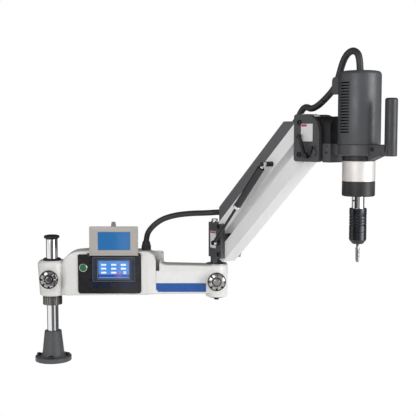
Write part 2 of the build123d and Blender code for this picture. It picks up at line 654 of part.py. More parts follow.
def post_bracket():
    half = [(BLOCK_BACK, BLOCK_HALF), (BLOCK_FRONT, BLOCK_HALF), (FORK_START, FORK_HALF), (FORK_END, FORK_HALF)]
    points = half + [(x, -y) for x, y in reversed(half)]
    block = plan(outline(points, [3, 3, 3, 2, 2, 3, 3, 3]), BRACKET_BOTTOM_Z, BRACKET_TOP_Z)
    slot_half = LINK_HALF + FORK_SLOT_GAP
    block -= Pos(FORK_THROAT, 0, BRACKET_BOTTOM_Z) * Box(
        FORK_END, 2 * slot_half, BRACKET_TOP_Z, align=(Align.MIN, Align.CENTER, Align.MIN))
    undercut = Pos(FORK_START, 0, BRACKET_BOTTOM_Z) * Box(
        FORK_END, 3 * FORK_HALF, FORK_BOTTOM_Z - BRACKET_BOTTOM_Z, align=(Align.MIN, Align.CENTER, Align.MIN))
    block -= undercut
    for z in (UPPER_PIVOT_Z, lower_pivot_z):
        block += across(PIN_HEAD_D / 2 + 1, PIVOT_FORWARD, z, -FORK_HALF, -slot_half)
        block += across(PIN_HEAD_D / 2 + 1, PIVOT_FORWARD, z, slot_half, FORK_HALF)
        block -= across(PIN_D / 2, PIVOT_FORWARD, z, -FORK_HALF, FORK_HALF)
    anchor = PIVOT_FORWARD + SPRING_LOW[0]
    block -= across(STUD_D / 2, anchor, UPPER_PIVOT_Z + SPRING_LOW[1], -FORK_HALF, -slot_half)
    return block


def bracket_nut():
    ring = Pos(-NECK_BACK - 2, 0, BRACKET_TOP_Z) * Cylinder(NUT_D / 2, NUT_H * 0.35, align=up)
    return ring + Pos(-NECK_BACK - 2, 0, BRACKET_TOP_Z + NUT_H * 0.35) * extrude(
        RegularPolygon(NUT_D * 0.42, 6), NUT_H * 0.65)


def pivot_pin(x, z, half):
    pin = across(PIN_D / 2, x, z, -half, half)
    head = across(PIN_HEAD_D / 2, x, z, -half - PIN_HEAD_H, -half)
    head = chamfer(head.faces().sort_by(Axis.Y)[0].edges(), 1)
    head -= slab(Pos(x, z) * RegularPolygon(PIN_HEAD_D * 0.25, 6), -half - PIN_HEAD_H, -half - PIN_HEAD_H * 0.4)
    nut = slab(Pos(x, z) * RegularPolygon(PIN_HEAD_D * 0.58, 6), half, half + PIN_HEAD_H)
    return pin + head + nut


def elbow_pivot_pins():
    return [pivot_pin(PIVOT_FORWARD, z, FORK_HALF) for z in (UPPER_PIVOT_Z, lower_pivot_z)]


def ball_stud(x, z, y_seat, y_inner):
    # threaded stud with a collar, out to the spring's eye
    stud = across(STUD_D / 2, x, z, -SPRING_SIDE - EYE_T / 2 - 3, y_inner)
    collar = across(STUD_D / 2 + 3, x, z, -SPRING_SIDE + EYE_T / 2 + RUN_GAP, y_seat)
    clip = across(STUD_D / 2 + 2.5, x, z, -SPRING_SIDE - EYE_T / 2 - 3, -SPRING_SIDE - EYE_T / 2 - RUN_GAP)
    return stud + collar + clip


def spring_lower_stud():
    slot_half = LINK_HALF + FORK_SLOT_GAP
    return ball_stud(PIVOT_FORWARD + SPRING_LOW[0], UPPER_PIVOT_Z + SPRING_LOW[1], -FORK_HALF, -slot_half)


# ---------------- links, drawn along +X from their lower pivot ----------------
def link_place(pivot_z):
    return Pos(PIVOT_FORWARD, 0, pivot_z) * Rot(0, -ARM_LIFT, 0)


def link_side(above, below, shrink=0.0):
    radius = LINK_END_R - shrink
    bar = Pos(LINK_LENGTH / 2, (above - below) / 2) * Rectangle(
        LINK_LENGTH + 2 * radius, above + below - 2 * shrink)
    ends = Circle(radius) + Pos(LINK_LENGTH, 0) * Circle(radius)
    middle = Pos(LINK_LENGTH / 2, 0) * Rectangle(LINK_LENGTH, 4 * radius)
    return bar & (ends + middle)


def link_tube(above, below):
    body = slab(link_side(above, below), -LINK_HALF, LINK_HALF)
    core = Pos(LINK_LENGTH / 2, 0, (above - below) / 2) * Box(
        LINK_LENGTH * 2, 2 * (LINK_HALF - LINK_WALL), above + below - 2 * LINK_WALL)
    body -= core
    for x in (0, LINK_LENGTH):
        body -= across(BUSH_R, x, 0, -LINK_HALF, LINK_HALF)
    return body


def upper_link():
    body = link_tube(UPPER_LINK_UP, UPPER_LINK_DOWN)
    body -= across(STUD_D / 2, SPRING_ALONG, SPRING_ACROSS, -LINK_HALF, 0)
    return link_place(UPPER_PIVOT_Z) * body


def lower_link():
    return link_place(lower_pivot_z) * link_tube(LOWER_LINK_UP, LOWER_LINK_DOWN)


def link_bushes(pivot_z):
    end = LINK_HALF + LINK_BUSH_PROUD
    bushes = []
    for x in (0, LINK_LENGTH):
        tube = across(BUSH_R, x, 0, -end, end) - across(PIN_D / 2 + FIT_GAP, x, 0, -end, end)
        bushes.append(link_place(pivot_z) * tube)
    return bushes


def on_link(pivot_z, s, m):
    # place in the arm's plane of a point s along a link and m above its pivot line
    return (PIVOT_FORWARD + s * cos(lift) - m * sin(lift), pivot_z + s * sin(lift) + m * cos(lift))


def duct_corner_low(m):
    s = (DUCT_BACK + m * sin(lift)) / cos(lift)
    return on_link(UPPER_PIVOT_Z, s, m)


def duct_corner_high(m):
    s = LINK_LENGTH + (DUCT_END_UP - m * cos(lift)) / sin(lift)
    return on_link(UPPER_PIVOT_Z, s, m)


def cable_duct():
    floor = UPPER_LINK_UP
    roof = DUCT_UP
    shell = slab(Polygon(duct_corner_low(floor), duct_corner_high(floor), duct_corner_high(roof),
                         duct_corner_low(roof), align=None), -LINK_HALF, LINK_HALF)
    inner = DUCT_UP - DUCT_WALL
    core = Pos(LINK_LENGTH / 2, 0, (floor + inner) / 2) * Box(
        LINK_LENGTH * 2, 2 * (LINK_HALF - DUCT_WALL), inner - floor)
    return shell - link_place(UPPER_PIVOT_Z) * core


def spring_upper_stud():
    stud = ball_stud(SPRING_ALONG, SPRING_ACROSS, -LINK_HALF, -LINK_HALF + LINK_WALL)
    return link_place(UPPER_PIVOT_Z) * stud


# ---------------- gas spring ----------------
spring_low = (PIVOT_FORWARD + SPRING_LOW[0], UPPER_PIVOT_Z + SPRING_LOW[1])
spring_high = on_link(UPPER_PIVOT_Z, SPRING_ALONG, SPRING_ACROSS)
spring_length = hypot(spring_high[0] - spring_low[0], spring_high[1] - spring_low[1])
spring_slope = degrees(atan2(spring_high[1] - spring_low[1], spring_high[0] - spring_low[0]))
spring_place = Pos(spring_low[0], -SPRING_SIDE, spring_low[1]) * Rot(0, -spring_slope, 0)


def eye(x):
    ring = across(EYE_D / 2, x, 0, -EYE_T / 2, EYE_T / 2)
    return ring - across(STUD_D / 2 + FIT_GAP, x, 0, -EYE_T / 2, EYE_T / 2)


def spring_rod():
    neck = along(ROD_D / 2, 0, 0, EYE_D / 2 - 1.5, ROD_LENGTH)
    ferrule = along(ROD_D / 2 + 2, 0, 0, EYE_D / 2 + 1.5, EYE_D / 2 + 12)
    return spring_place * (eye(0) + neck + ferrule)


def spring_cylinder():
    high = spring_length - CYLINDER_HEAD
    low = high - CYLINDER_LENGTH
    tube = along(CYLINDER_D / 2, 0, 0, low, high) - along(CYLINDER_BORE / 2, 0, 0, low, high - 3)
    tube = fillet(tube.edges().filter_by(GeomType.CIRCLE).sort_by(Axis.X)[-1], 2)
    lip = along(CYLINDER_D / 2 + 0.8, 0, 0, low, low + 9) - along(CYLINDER_BORE / 2, 0, 0, low, low + 9)
    fitting = along(ROD_D / 2, 0, 0, high - 1, spring_length - EYE_D / 2 + 1.5)
    return spring_place * (tube + lip + fitting + eye(spring_length))


# ---------------- head carrier ----------------
def carrier_plate(y_low, y_high):
    x0, x1 = PLATE_X
    z0, z1 = PLATE_Z
    face = Pos(head_x, head_z) * outline([(x0, z0), (x1, z0), (x1, z1), (x0, z1)], [8, 6, PLATE_ARC_R, 7])
    plate = slab(face, y_low, y_high)
    for z in (head_z, head_z - PIVOT_DROP):
        plate -= across(PIN_D / 2, head_x, z, y_low, y_high)
    plate -= across(LEVER_STUD_D / 2, head_x + LEVER_AT[0], head_z + LEVER_AT[1], y_low, y_high)
    return plate


def carrier_front_plate():
    face_y = -PLATE_IN - PLATE_T
    boss = across(CLAMP_BOSS_D / 2, head_x + CLAMP_BOSS_AT[0], head_z + CLAMP_BOSS_AT[1],
                  face_y - CLAMP_BOSS_H, face_y)
    return carrier_plate(face_y, -PLATE_IN) + chamfer(boss.faces().sort_by(Axis.Y)[0].edges(), 0.8)


def carrier_rear_plate():
    return carrier_plate(PLATE_IN, PLATE_IN + PLATE_T)


def head_pivot_pins():
    return [pivot_pin(head_x, head_z - drop, PLATE_IN + PLATE_T) for drop in (0, PIVOT_DROP)]


def swivel_housing():
    axis_z = head_z + SWIVEL_Z
    low = head_z + HOUSING_BOTTOM
    section = Pos(0, axis_z) * Circle(HOUSING_R) + Pos(0, (axis_z + low) / 2) * Rectangle(
        2 * HOUSING_R, axis_z - low)
    length = HOUSING_X[1] - HOUSING_X[0]
    block = Pos(head_x + HOUSING_X[0], 0, 0) * extrude(Plane.YZ * section, length)
    lower = slab(Pos(head_x, head_z) * rectangle((HOUSING_X[0] + 2, HOUSING_X[1] - 2),
                                                (PLATE_Z[0] + 2, HOUSING_BOTTOM + 1), 2), -PLATE_IN, PLATE_IN)
    block += lower
    block -= along(SWIVEL_SHAFT_D / 2 + FIT_GAP, 0, axis_z, head_x + HOUSING_X[0] + 8, head_x + HOUSING_X[1])
    return block - across(LEVER_STUD_D / 2, head_x + LEVER_AT[0], head_z + LEVER_AT[1], -PLATE_IN, PLATE_IN)


def clamp_lever():
    x = head_x + LEVER_AT[0]
    z = head_z + LEVER_AT[1]
    face_y = -PLATE_IN - PLATE_T
    hub = across(LEVER_HUB_D / 2, x, z, face_y - 14, face_y - RUN_GAP)
    hub = chamfer(hub.faces().sort_by(Axis.Y)[0].edges(), 1.5)
    tip = (x + LEVER_TIP[0], z + LEVER_TIP[1])
    slope = degrees(atan2(LEVER_TIP[1], LEVER_TIP[0]))
    reach = hypot(*LEVER_TIP)
    root, end = LEVER_HALF
    bar = Polygon((0, -root), (reach, -end), (reach, end), (0, root), align=None)
    bar += Circle(root) + Pos(reach, 0) * Circle(LEVER_END_R)
    handle = slab(Pos(x, z) * Rot(0, 0, slope) * bar, face_y - 14, face_y - 7.5)
    stud = across(LEVER_STUD_D / 2 - FIT_GAP, x, z, face_y - 5, PLATE_IN + PLATE_T)
    return hub + handle + stud


# ---------------- motor head ----------------
def head_bracket():
    axis_z = head_z + SWIVEL_Z
    x0 = head_x + BRACKET_X[0]
    foot_low = head_z + BRACKET_FOOT_Z[0]
    foot_high = head_z + BRACKET_FOOT_Z[1]
    arch = Pos(0, axis_z) * Circle(BRACKET_ROUND) + Pos(0, (axis_z + foot_high) / 2) * Rectangle(
        2 * BRACKET_ROUND, axis_z - foot_high)
    body = Pos(x0, 0, 0) * extrude(Plane.YZ * arch, BRACKET_X[1] - BRACKET_X[0] - 1)
    body += slab(rectangle((x0, head_x + BRACKET_X[1]), (foot_low, foot_high), 2), -BRACKET_HALF, BRACKET_HALF)
    return body + along(SWIVEL_SHAFT_D / 2, 0, axis_z, head_x + HOUSING_X[0] + 9, x0 + 1)


def motor_flange():
    z0 = head_z + FLANGE_Z[0]
    z1 = head_z + FLANGE_Z[1]
    seat = head_z + SEAT_Z
    body = upright(FLANGE_R, spindle_x, 0, z0, z1)
    body = chamfer(body.edges().filter_by(GeomType.CIRCLE), 1.5)
    lug_x = head_x + BRACKET_X[1]
    body += Pos((lug_x + spindle_x) / 2, 0, z0) * Box(spindle_x - lug_x, 2 * LUG_HALF, z1 - z0, align=up)
    grip_x = spindle_x + GRIP_OUT
    arm = slab(rectangle((spindle_x, grip_x), (z0, z1), 1), -GRIP_ARM_HALF, GRIP_ARM_HALF)
    body += fillet(arm.edges().filter_by(Axis.X), 2)
    body += slab(Polygon((spindle_x, seat), (spindle_x + SEAT_R, seat), (spindle_x + GUSSET_OUT, z0),
                         (spindle_x, z0), align=None), -GRIP_ARM_HALF + 2, GRIP_ARM_HALF - 2)
    body += upright(SEAT_R, spindle_x, 0, seat, z0)
    return body - upright(SEAT_BORE_R, spindle_x, 0, seat, z1)


def handle_grip():
    grip_x = spindle_x + GRIP_OUT
    low = head_z + FLANGE_Z[0]
    grip = upright(GRIP_D / 2, grip_x, 0, low, head_z + GRIP_TOP)
    grip = fillet(grip.edges().group_by(Axis.Z)[-1], 5)
    grip = fillet(grip.edges().group_by(Axis.Z)[0], 2)
    return grip - Pos(grip_x, 0, low) * Box(GRIP_D, 2 * GRIP_ARM_HALF, head_z + FLANGE_Z[1] - low,
                                            align=(Align.MAX, Align.CENTER, Align.MIN))


def motor_cover():
    z0 = head_z + FLANGE_Z[1]
    z1 = head_z + COVER_TOP
    body = turned([(0, z0), (COVER_R - 0.5, z0), (COVER_R, z0 + 2), (COVER_R, z1 - 10), (COVER_R - 1.5, z1 - 5),
                   (COVER_R - 5, z1 - 1.5), (COVER_R - 12, z1), (0, z1 + 1)])
    body -= upright(COVER_R - COVER_SHELL, 0, 0, z0, z1 - 12)
    body -= upright(CABLE_D / 2, 0, 0, z1 - 13, z1 + 2)
    slot = Box(VENT_W, 3 * COVER_R, VENT_H)
    for k in range(VENT_COUNT):
        body -= Pos(0, 0, head_z + VENT_FIRST + k * VENT_PITCH) * slot
    return Pos(spindle_x, 0, 0) * body


def motor_can():
    z0 = head_z + FLANGE_Z[1]
    can = upright(MOTOR_CAN_R, spindle_x, 0, z0, head_z + COVER_TOP - MOTOR_CAN_SPACE)
    return chamfer(can.edges().group_by(Axis.Z)[-1], 3)


def gearbox_housing():
    low = head_z + GEAR_BOTTOM
    high = head_z + SEAT_Z
    body = turned([(0, low), (GEAR_R, low), (GEAR_R, high - 1), (GEAR_R - 1, high), (0, high)])
    return Pos(spindle_x, 0, 0) * (body - upright(SPINDLE_R + FIT_GAP, 0, 0, low, low + 20))


def nose_ring():
    low = head_z + NOSE_BOTTOM
    high = head_z + GEAR_BOTTOM
    inner = SPINDLE_R + FIT_GAP
    body = turned([(inner, low), (GEAR_R - 2.5, low), (GEAR_R, low + 2.5), (GEAR_R, high), (inner, high)])
    return Pos(spindle_x, 0, 0) * body


def spindle_shaft():
    low = head_z + SPINDLE_BOTTOM
    shaft = upright(SPINDLE_R, 0, 0, low, head_z + GEAR_BOTTOM + 19)
    pin_hole_z = head_z + (NOSE_BOTTOM + SPINDLE_BOTTOM) / 2 + 4
    return Pos(spindle_x, 0, 0) * (shaft - across(SPINDLE_HOLE_R, 0, pin_hole_z, -SPINDLE_R, SPINDLE_R))


def chuck_body():
    top = head_z + SPINDLE_BOTTOM
    joint = head_z + SLEEVE_TOP
    tip = head_z + CHUCK_TIP
    groove_z = [head_z + CHUCK_GROOVE_TOP - CHUCK_GROOVE_PITCH * k for k in range(CHUCK_GROOVES)]
    points = [(0, top), (CHUCK_R - 0.8, top), (CHUCK_R, top - 0.8)]
    for z in groove_z:
        points += [(CHUCK_R, z + 1.2), (CHUCK_R - 1.2, z + 0.6), (CHUCK_R - 1.2, z - 0.6), (CHUCK_R, z - 1.2)]
    points += [(CHUCK_R, joint + 0.8), (SLEEVE_CORE_R, joint + 0.8), (SLEEVE_CORE_R, tip + 3)]
    points += [(SLEEVE_CORE_R - 3, tip), (TAP_SHANK_R, tip), (TAP_SHANK_R, tip + TAP_HELD), (0, tip + TAP_HELD)]
    return Pos(spindle_x, 0, 0) * turned(points)


def chuck_sleeve():
    top = head_z + SLEEVE_TOP
    low = head_z + CHUCK_BOTTOM
    inner = SLEEVE_CORE_R + FIT_GAP
    body = turned([(inner, top), (CHUCK_R, top), (CHUCK_R, low + 5), (CHUCK_R - 1.5, low + 3.5),
                   (CHUCK_R - 1.5, low + 2), (CHUCK_R - 4, low), (inner, low)])
    return Pos(spindle_x, 0, 0) * body


def tap():
    shoulder = head_z + TAP_SHOULDER
    low = head_z + TAP_BOTTOM
    top = head_z + CHUCK_TIP + TAP_HELD
    body = turned([(0, top), (TAP_SHANK_R, top), (TAP_SHANK_R, shoulder + 3), (TAP_R, shoulder),
                   (TAP_R, low + 7), (TAP_R - 1.8, low), (0, low)])
    flute = upright(TAP_FLUTE_R, 0, 0, low, shoulder - 4)
    for place in PolarLocations(TAP_R + 0.4, TAP_FLUTES):
        body -= place * flute
    return Pos(spindle_x, 0, 0) * body


def cable_stay():
    # plate in front of the motor cable, seated on the side of the motor cover, with a ring round the cable
    z_range = (head_z + STAY_Z[0], head_z + STAY_Z[1])
    x_range = (head_x + STAY_LEFT, spindle_x)
    front = -CABLE_D / 2 - CLIP_WALL - 0.5
    plate = slab(rectangle(x_range, z_range, STAY_ROUND), front, front + STAY_T)
    plate -= upright(COVER_R, spindle_x, 0, *z_range)
    clip_place = Pos(head_x + CLIP_AT[0], 0, head_z + CLIP_AT[1]) * Rot(0, -CLIP_SLOPE, 0)
    body = plate + clip_place * along(CABLE_D / 2 + CLIP_WALL, 0, 0, -CLIP_L / 2, CLIP_L / 2)
    return body - clip_place * along(CABLE_D / 2, 0, 0, -CLIP_L, CLIP_L)


# ---------------- cables ----------------
def arm_point(x, y, z):
    placed = arm_place * Pos(x, y, z)
    return placed.position


def cable_radii(points):
    radii = []
    for before, corner, after in zip(points, points[1:], points[2:]):
        arriving = corner - before
        leaving = after - corner
        turn = radians(arriving.get_angle(leaving))
        radii.append(0.45 * min(arriving.length, leaving.length) / tan(turn / 2))
    return radii


def cable(name, points):
    points = [Vector(*p) for p in points]
    radii = cable_radii(points)
    path = FilletPolyline(*points, radius=radii)
    start = Plane(origin=points[0], z_dir=(points[1] - points[0]).normalized())
    tube = sweep(start * Circle(CABLE_D / 2), path)
    ratio = tube.volume / (path.length * pi * CABLE_D ** 2 / 4)
    print(name, "radii", [round(r) for r in radii], "length", round(path.length), "ratio", round(ratio, 4))
    return tube


def arm_cable():
    top = gland_z + GLAND_H * 0.6
    duct = on_link(UPPER_PIVOT_Z, 0, (UPPER_LINK_UP + DUCT_UP) / 2)
    end = arm_point(PIVOT_FORWARD + DUCT_BACK + 6, 0, duct[1] + 2)
    return cable("arm_cable", [(GLAND_X, 0, top), (GLAND_X, 0, top + 26), *ARM_ROUTE, (end.X, end.Y, end.Z)])


def head_route(route):
    return [arm_point(head_x + x, 0, head_z + z) for x, z in route]


def link_cable():
    return cable("link_cable", head_route(LINK_ROUTE))


def motor_cable():
    return cable("motor_cable", head_route(MOTOR_ROUTE))


nodes = {
    "base_flange": base_flange(),
    "base_bolts": base_bolts(),
    "column": column(),
    "column_cap": column_cap(),
    "stop_collar": stop_collar(),
    "arm_casting": arm_casting(),
    "arm_bushes": arm_bushes(),
    "column_wiper": column_wiper(),
    "control_panel": control_panel(),
    "touchscreen_frame": touchscreen_frame(),
    "touchscreen_display": touchscreen_display(),
    "function_strip": function_strip(),
    "flap_catch": flap_catch(),
    "panel_screws": panel_screws(),
    "flap_hinge": flap_hinge(),
    "flap_frame": flap_frame(),
    "flap_window": flap_window(),
    "flap_latch": flap_latch(),
    "button_bezel": button_bezel(),
    "start_button": start_button(),
    "cable_gland": cable_gland(),
    "rear_cover": rear_cover(),
    "rear_cover_screws": rear_cover_screws(),
    "mains_gland": mains_gland(),
    "column_knob": column_knob(),
    "elbow_knob": elbow_knob(),
    "arm_cable": arm_cable(),
    "link_cable": link_cable(),
    "motor_cable": motor_cable(),
}
arm_nodes = {
    "post_shaft": post_shaft(),
    "retaining_bolt": retaining_bolt(),
    "post_bracket": post_bracket(),
    "bracket_nut": bracket_nut(),
    "elbow_pivot_pins": elbow_pivot_pins(),
    "spring_lower_stud": spring_lower_stud(),
    "upper_link": upper_link(),
    "upper_link_bushes": link_bushes(UPPER_PIVOT_Z),
    "cable_duct": cable_duct(),
    "spring_upper_stud": spring_upper_stud(),
    "lower_link": lower_link(),
    "lower_link_bushes": link_bushes(lower_pivot_z),
    "spring_rod": spring_rod(),
    "spring_cylinder": spring_cylinder(),
    "carrier_front_plate": carrier_front_plate(),
    "carrier_rear_plate": carrier_rear_plate(),
    "head_pivot_pins": head_pivot_pins(),
    "swivel_housing": swivel_housing(),
    "clamp_lever": clamp_lever(),
    "head_bracket": head_bracket(),
    "motor_flange": motor_flange(),
    "handle_grip": handle_grip(),
    "motor_cover": motor_cover(),
    "motor_can": motor_can(),
    "gearbox_housing": gearbox_housing(),
    "nose_ring": nose_ring(),
    "cable_stay": cable_stay(),
    "spindle_shaft": spindle_shaft(),
    "chuck_body": chuck_body(),
    "chuck_sleeve": chuck_sleeve(),
    "tap": tap(),
}
for name, shape in arm_nodes.items():
    group = shape if isinstance(shape, list) else [shape]
    nodes[name] = [arm_place * solid for solid in group]

os.makedirs("parts", exist_ok=True)
for name, shape in nodes.items():
    group = shape if isinstance(shape, list) else [shape]
    solids = [solid for piece in group for solid in piece.solids()]
    export_step(Compound(children=solids), "parts/" + name + ".step")
print("nodes", len(nodes))
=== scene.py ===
import bpy
import bmesh
import json
from math import atan2, cos, hypot, pi, radians, sin, sqrt, tan
from mathutils import Matrix, Vector


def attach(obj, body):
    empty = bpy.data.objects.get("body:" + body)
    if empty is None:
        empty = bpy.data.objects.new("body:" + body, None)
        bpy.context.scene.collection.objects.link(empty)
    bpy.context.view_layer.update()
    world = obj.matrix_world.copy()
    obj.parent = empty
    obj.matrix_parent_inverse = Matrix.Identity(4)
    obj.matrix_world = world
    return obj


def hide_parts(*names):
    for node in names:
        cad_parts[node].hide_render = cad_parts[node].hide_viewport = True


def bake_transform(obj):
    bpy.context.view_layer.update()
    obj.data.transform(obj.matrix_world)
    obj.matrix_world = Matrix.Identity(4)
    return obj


# Arm tapping machine. Metres, column axis at the origin, +X along the swing arm, operator at -Y.
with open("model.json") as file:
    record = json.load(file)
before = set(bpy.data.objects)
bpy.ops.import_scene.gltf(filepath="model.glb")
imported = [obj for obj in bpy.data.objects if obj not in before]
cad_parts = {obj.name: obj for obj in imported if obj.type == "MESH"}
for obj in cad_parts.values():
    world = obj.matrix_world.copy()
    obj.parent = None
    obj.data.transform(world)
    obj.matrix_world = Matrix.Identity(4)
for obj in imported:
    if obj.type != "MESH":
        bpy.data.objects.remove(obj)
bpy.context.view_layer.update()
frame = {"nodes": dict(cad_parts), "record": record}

layout = {
    "swingReach": 0.500,      # column axis to elbow axis
    "pivotForward": 0.062,    # elbow axis to the links' lower pivots
    "linkLength": 0.460,
    "headOffset": 0.178,      # head pivots to the spindle axis
    "armTurn": radians(-54),
    "armLift": radians(41),
    "upperPivotZ": 0.4184,
    # below the upper head pivot: where the bracket's black arch starts, and where painted shade starts on the
    # seat under the motor flange
    "archDrop": 0.0535,
    "shadedSeatDrop": 0.0812,
    "shadedSeatRadius": 0.046,
}
headX = layout["pivotForward"] + layout["linkLength"] * cos(layout["armLift"])
headZ = layout["upperPivotZ"] + layout["linkLength"] * sin(layout["armLift"])
spindleX = headX + layout["headOffset"]
rowPlace = Matrix.Identity(4)
armPlace = Matrix.Translation((layout["swingReach"], 0, 0)) @ Matrix.Rotation(layout["armTurn"], 4, "Z")
atSpindle = armPlace @ Matrix.Translation((spindleX, 0, headZ))      # z from the upper head pivot
atHead = armPlace @ Matrix.Translation((headX, 0, headZ))


def addObject(name, data):
    added = bpy.data.objects.new(name, data)
    bpy.context.scene.collection.objects.link(added)
    return added


# node trees: sockets that take arithmetic, and one method that adds a node
class Signal:
    # a socket that takes arithmetic; each sign adds a Math node
    def __init__(self, graph, socket):
        self.graph = graph
        self.socket = socket

    def math(self, operation, *others):
        node = self.graph.add("ShaderNodeMath", {"operation": operation}, dict(enumerate((self, *others))))
        return Signal(self.graph, node.outputs[0])

    def __add__(self, other):
        return self.math("ADD", other)

    def __sub__(self, other):
        return self.math("SUBTRACT", other)

    def __mul__(self, other):
        return self.math("MULTIPLY", other)

    def __truediv__(self, other):
        return self.math("DIVIDE", other)

    def wave(self):
        return self.math("SINE")

    def size(self):
        return self.math("ABSOLUTE")

    def less(self, other):
        return self.math("LESS_THAN", other)

    def more(self, other):
        return self.math("GREATER_THAN", other)

    def either(self, other):
        return self.math("MAXIMUM", other)

    def clamp(self, low, high, outLow=0.0, outHigh=1.0):
        node = self.graph.add("ShaderNodeMapRange", {"clamp": True}, {
            "Value": self, "From Min": low, "From Max": high, "To Min": outLow, "To Max": outHigh})
        return Signal(self.graph, node.outputs["Result"])


class Graph:
    # a node tree; one method adds a node with its settings and inputs
    def __init__(self, tree):
        self.tree = tree

    def add(self, kind, settings=None, values=None):
        node = self.tree.nodes.new(kind)
        for key, value in (settings or {}).items():
            setattr(node, key, value)
        for key, value in (values or {}).items():
            self.feed(node.inputs[key], value)
        return node

    def feed(self, socket, value):
        if isinstance(value, Signal):
            self.tree.links.new(value.socket, socket)
        elif isinstance(value, bpy.types.NodeSocket):
            self.tree.links.new(value, socket)
        else:
            socket.default_value = (*value, 1) if socket.type == "RGBA" and len(value) == 3 else value


class Shader(Graph):
    # a surface; x, y and z are the place on it
    def __init__(self, name, colour, roughness, metallic=0.0, **fixed):
        self.material = bpy.data.materials.new(name)
        self.material.use_nodes = True
        super().__init__(self.material.node_tree)
        self.surface = self.tree.nodes["Principled BSDF"]
        self.surface.inputs["Base Color"].default_value = (*colour, 1)
        self.surface.inputs["Roughness"].default_value = roughness
        self.surface.inputs["Metallic"].default_value = metallic
        for socket, value in fixed.items():
            self.surface.inputs[socket.replace("_", " ")].default_value = value
        self.place = self.add("ShaderNodeTexCoord").outputs["Object"]
        split = self.add("ShaderNodeSeparateXYZ", {}, {"Vector": self.place})
        self.x, self.y, self.z = [Signal(self, socket) for socket in split.outputs]

    def stretched(self, scale):
        return self.add("ShaderNodeMapping", {}, {"Vector": self.place, "Scale": scale}).outputs[0]

    def noise(self, scale, detail=2.0, roughness=0.5, place=None):
        node = self.add("ShaderNodeTexNoise", {}, {
            "Vector": place or self.place, "Scale": scale, "Detail": detail, "Roughness": roughness})
        return Signal(self, node.outputs["Fac"])

    def tint(self, factor, second):
        # the base colour, drawn towards a second colour where factor is high
        current = self.surface.inputs["Base Color"]
        first = current.links[0].from_socket if current.links else tuple(current.default_value)[:3]
        node = self.add("ShaderNodeMix", {"data_type": "RGBA"}, {0: factor, 6: first, 7: second})
        self.feed(current, node.outputs[2])

    def vary(self, socket, low, high, signal):
        self.feed(self.surface.inputs[socket], signal.clamp(0.3, 0.7, low, high))

    def bump(self, height, distance):
        node = self.add("ShaderNodeBump", {}, {"Height": height, "Distance": distance})
        self.feed(self.surface.inputs["Normal"], node.outputs[0])


# finishes, one function for each kind of surface
def paint(name, colour, roughness, grain=900, grainHeight=0.00002, patch=0.06, coat=0.0):
    # sprayed enamel: faint orange peel, slow change of gloss
    shader = Shader(name, colour, roughness, Coat_Weight=coat, Coat_Roughness=0.15)
    shader.vary("Roughness", roughness - patch, roughness + patch, shader.noise(14, 3))
    dirt = shader.noise(9, 4).clamp(0.52, 0.75, 0, 0.12)
    shader.tint(dirt, tuple(c * 0.86 for c in colour))
    shader.bump(shader.noise(grain, 2), grainHeight)
    return shader


def powder(name, colour, roughness, grain=1500, grainHeight=0.00006, specular=0.5):
    # textured powder coat: pebbled surface with paler high spots
    shader = Shader(name, colour, roughness, Specular_IOR_Level=specular)
    pebbles = shader.noise(grain, 2, 0.6)
    shader.tint(pebbles.clamp(0.5, 0.75, 0, 0.35), tuple(min(1, c * 1.7 + 0.01) for c in colour))
    shader.vary("Roughness", roughness - 0.08, roughness + 0.08, shader.noise(60, 3))
    shader.bump(pebbles, grainHeight)
    return shader


def bracketFinish():
    # head bracket: graphite foot under a blacker arch
    shader = powder("BracketPowder", (0.070, 0.070, 0.075), 0.42, specular=0.35)
    shader.tint(shader.z.more(headZ - layout["archDrop"]), (0.006, 0.006, 0.008))
    return shader


def flangeFinish():
    # motor flange: graphite, with painted shade that turns the seat below it near black, standing in for the
    # shade under the flange
    shader = powder("FlangePowder", (0.050, 0.051, 0.055), 0.42)
    axis = armPlace @ Vector((spindleX, 0, 0))
    acrossX = shader.x - axis.x
    acrossY = shader.y - axis.y
    near = (acrossX * acrossX + acrossY * acrossY).less(layout["shadedSeatRadius"] ** 2)
    # painted shade: inside the seat's radius and below the flange, the colour is drawn to near black
    shader.tint(near * shader.z.less(headZ - layout["shadedSeatDrop"]), (0.003, 0.003, 0.004))
    return shader


def polished(name, colour, roughness, scratches=0.03):
    # bright metal with hairline polish marks that run round the part
    shader = Shader(name, colour, roughness, 1.0)
    lines = shader.noise(30, 2, 0.6, shader.stretched((2, 2, 90)))
    shader.vary("Roughness", roughness, roughness + scratches, lines)
    shader.tint(shader.noise(12, 3).clamp(0.5, 0.8, 0, 0.2), tuple(c * 0.8 for c in colour))
    return shader


def turnedMetal(name, colour, roughness, pitch=0.0009, depth=0.00001, wear=0.25, metallic=1.0):
    # lathe rings across Z and a worn tone
    shader = Shader(name, colour, roughness, metallic)
    rings = (shader.z * (2 * pi / pitch)).wave()
    fine = shader.noise(40, 3, 0.6, shader.stretched((1, 1, 60)))
    shader.vary("Roughness", roughness - 0.06, roughness + 0.1, fine)
    shader.tint(fine.clamp(0.45, 0.7, 0, wear), tuple(c * 0.7 for c in colour))
    shader.bump(rings, depth)
    return shader


def moulded(name, colour, roughness, grain=700, grainHeight=0.00003, specular=0.5):
    # plastic or rubber with a fine spark-eroded grain
    shader = Shader(name, colour, roughness, Specular_IOR_Level=specular)
    spots = shader.noise(grain, 3, 0.6)
    shader.vary("Roughness", roughness - 0.07, roughness + 0.07, shader.noise(45, 3))
    shader.tint(spots.clamp(0.5, 0.8, 0, 0.3), tuple(min(1, c * 1.5 + 0.004) for c in colour))
    shader.bump(spots, grainHeight)
    return shader


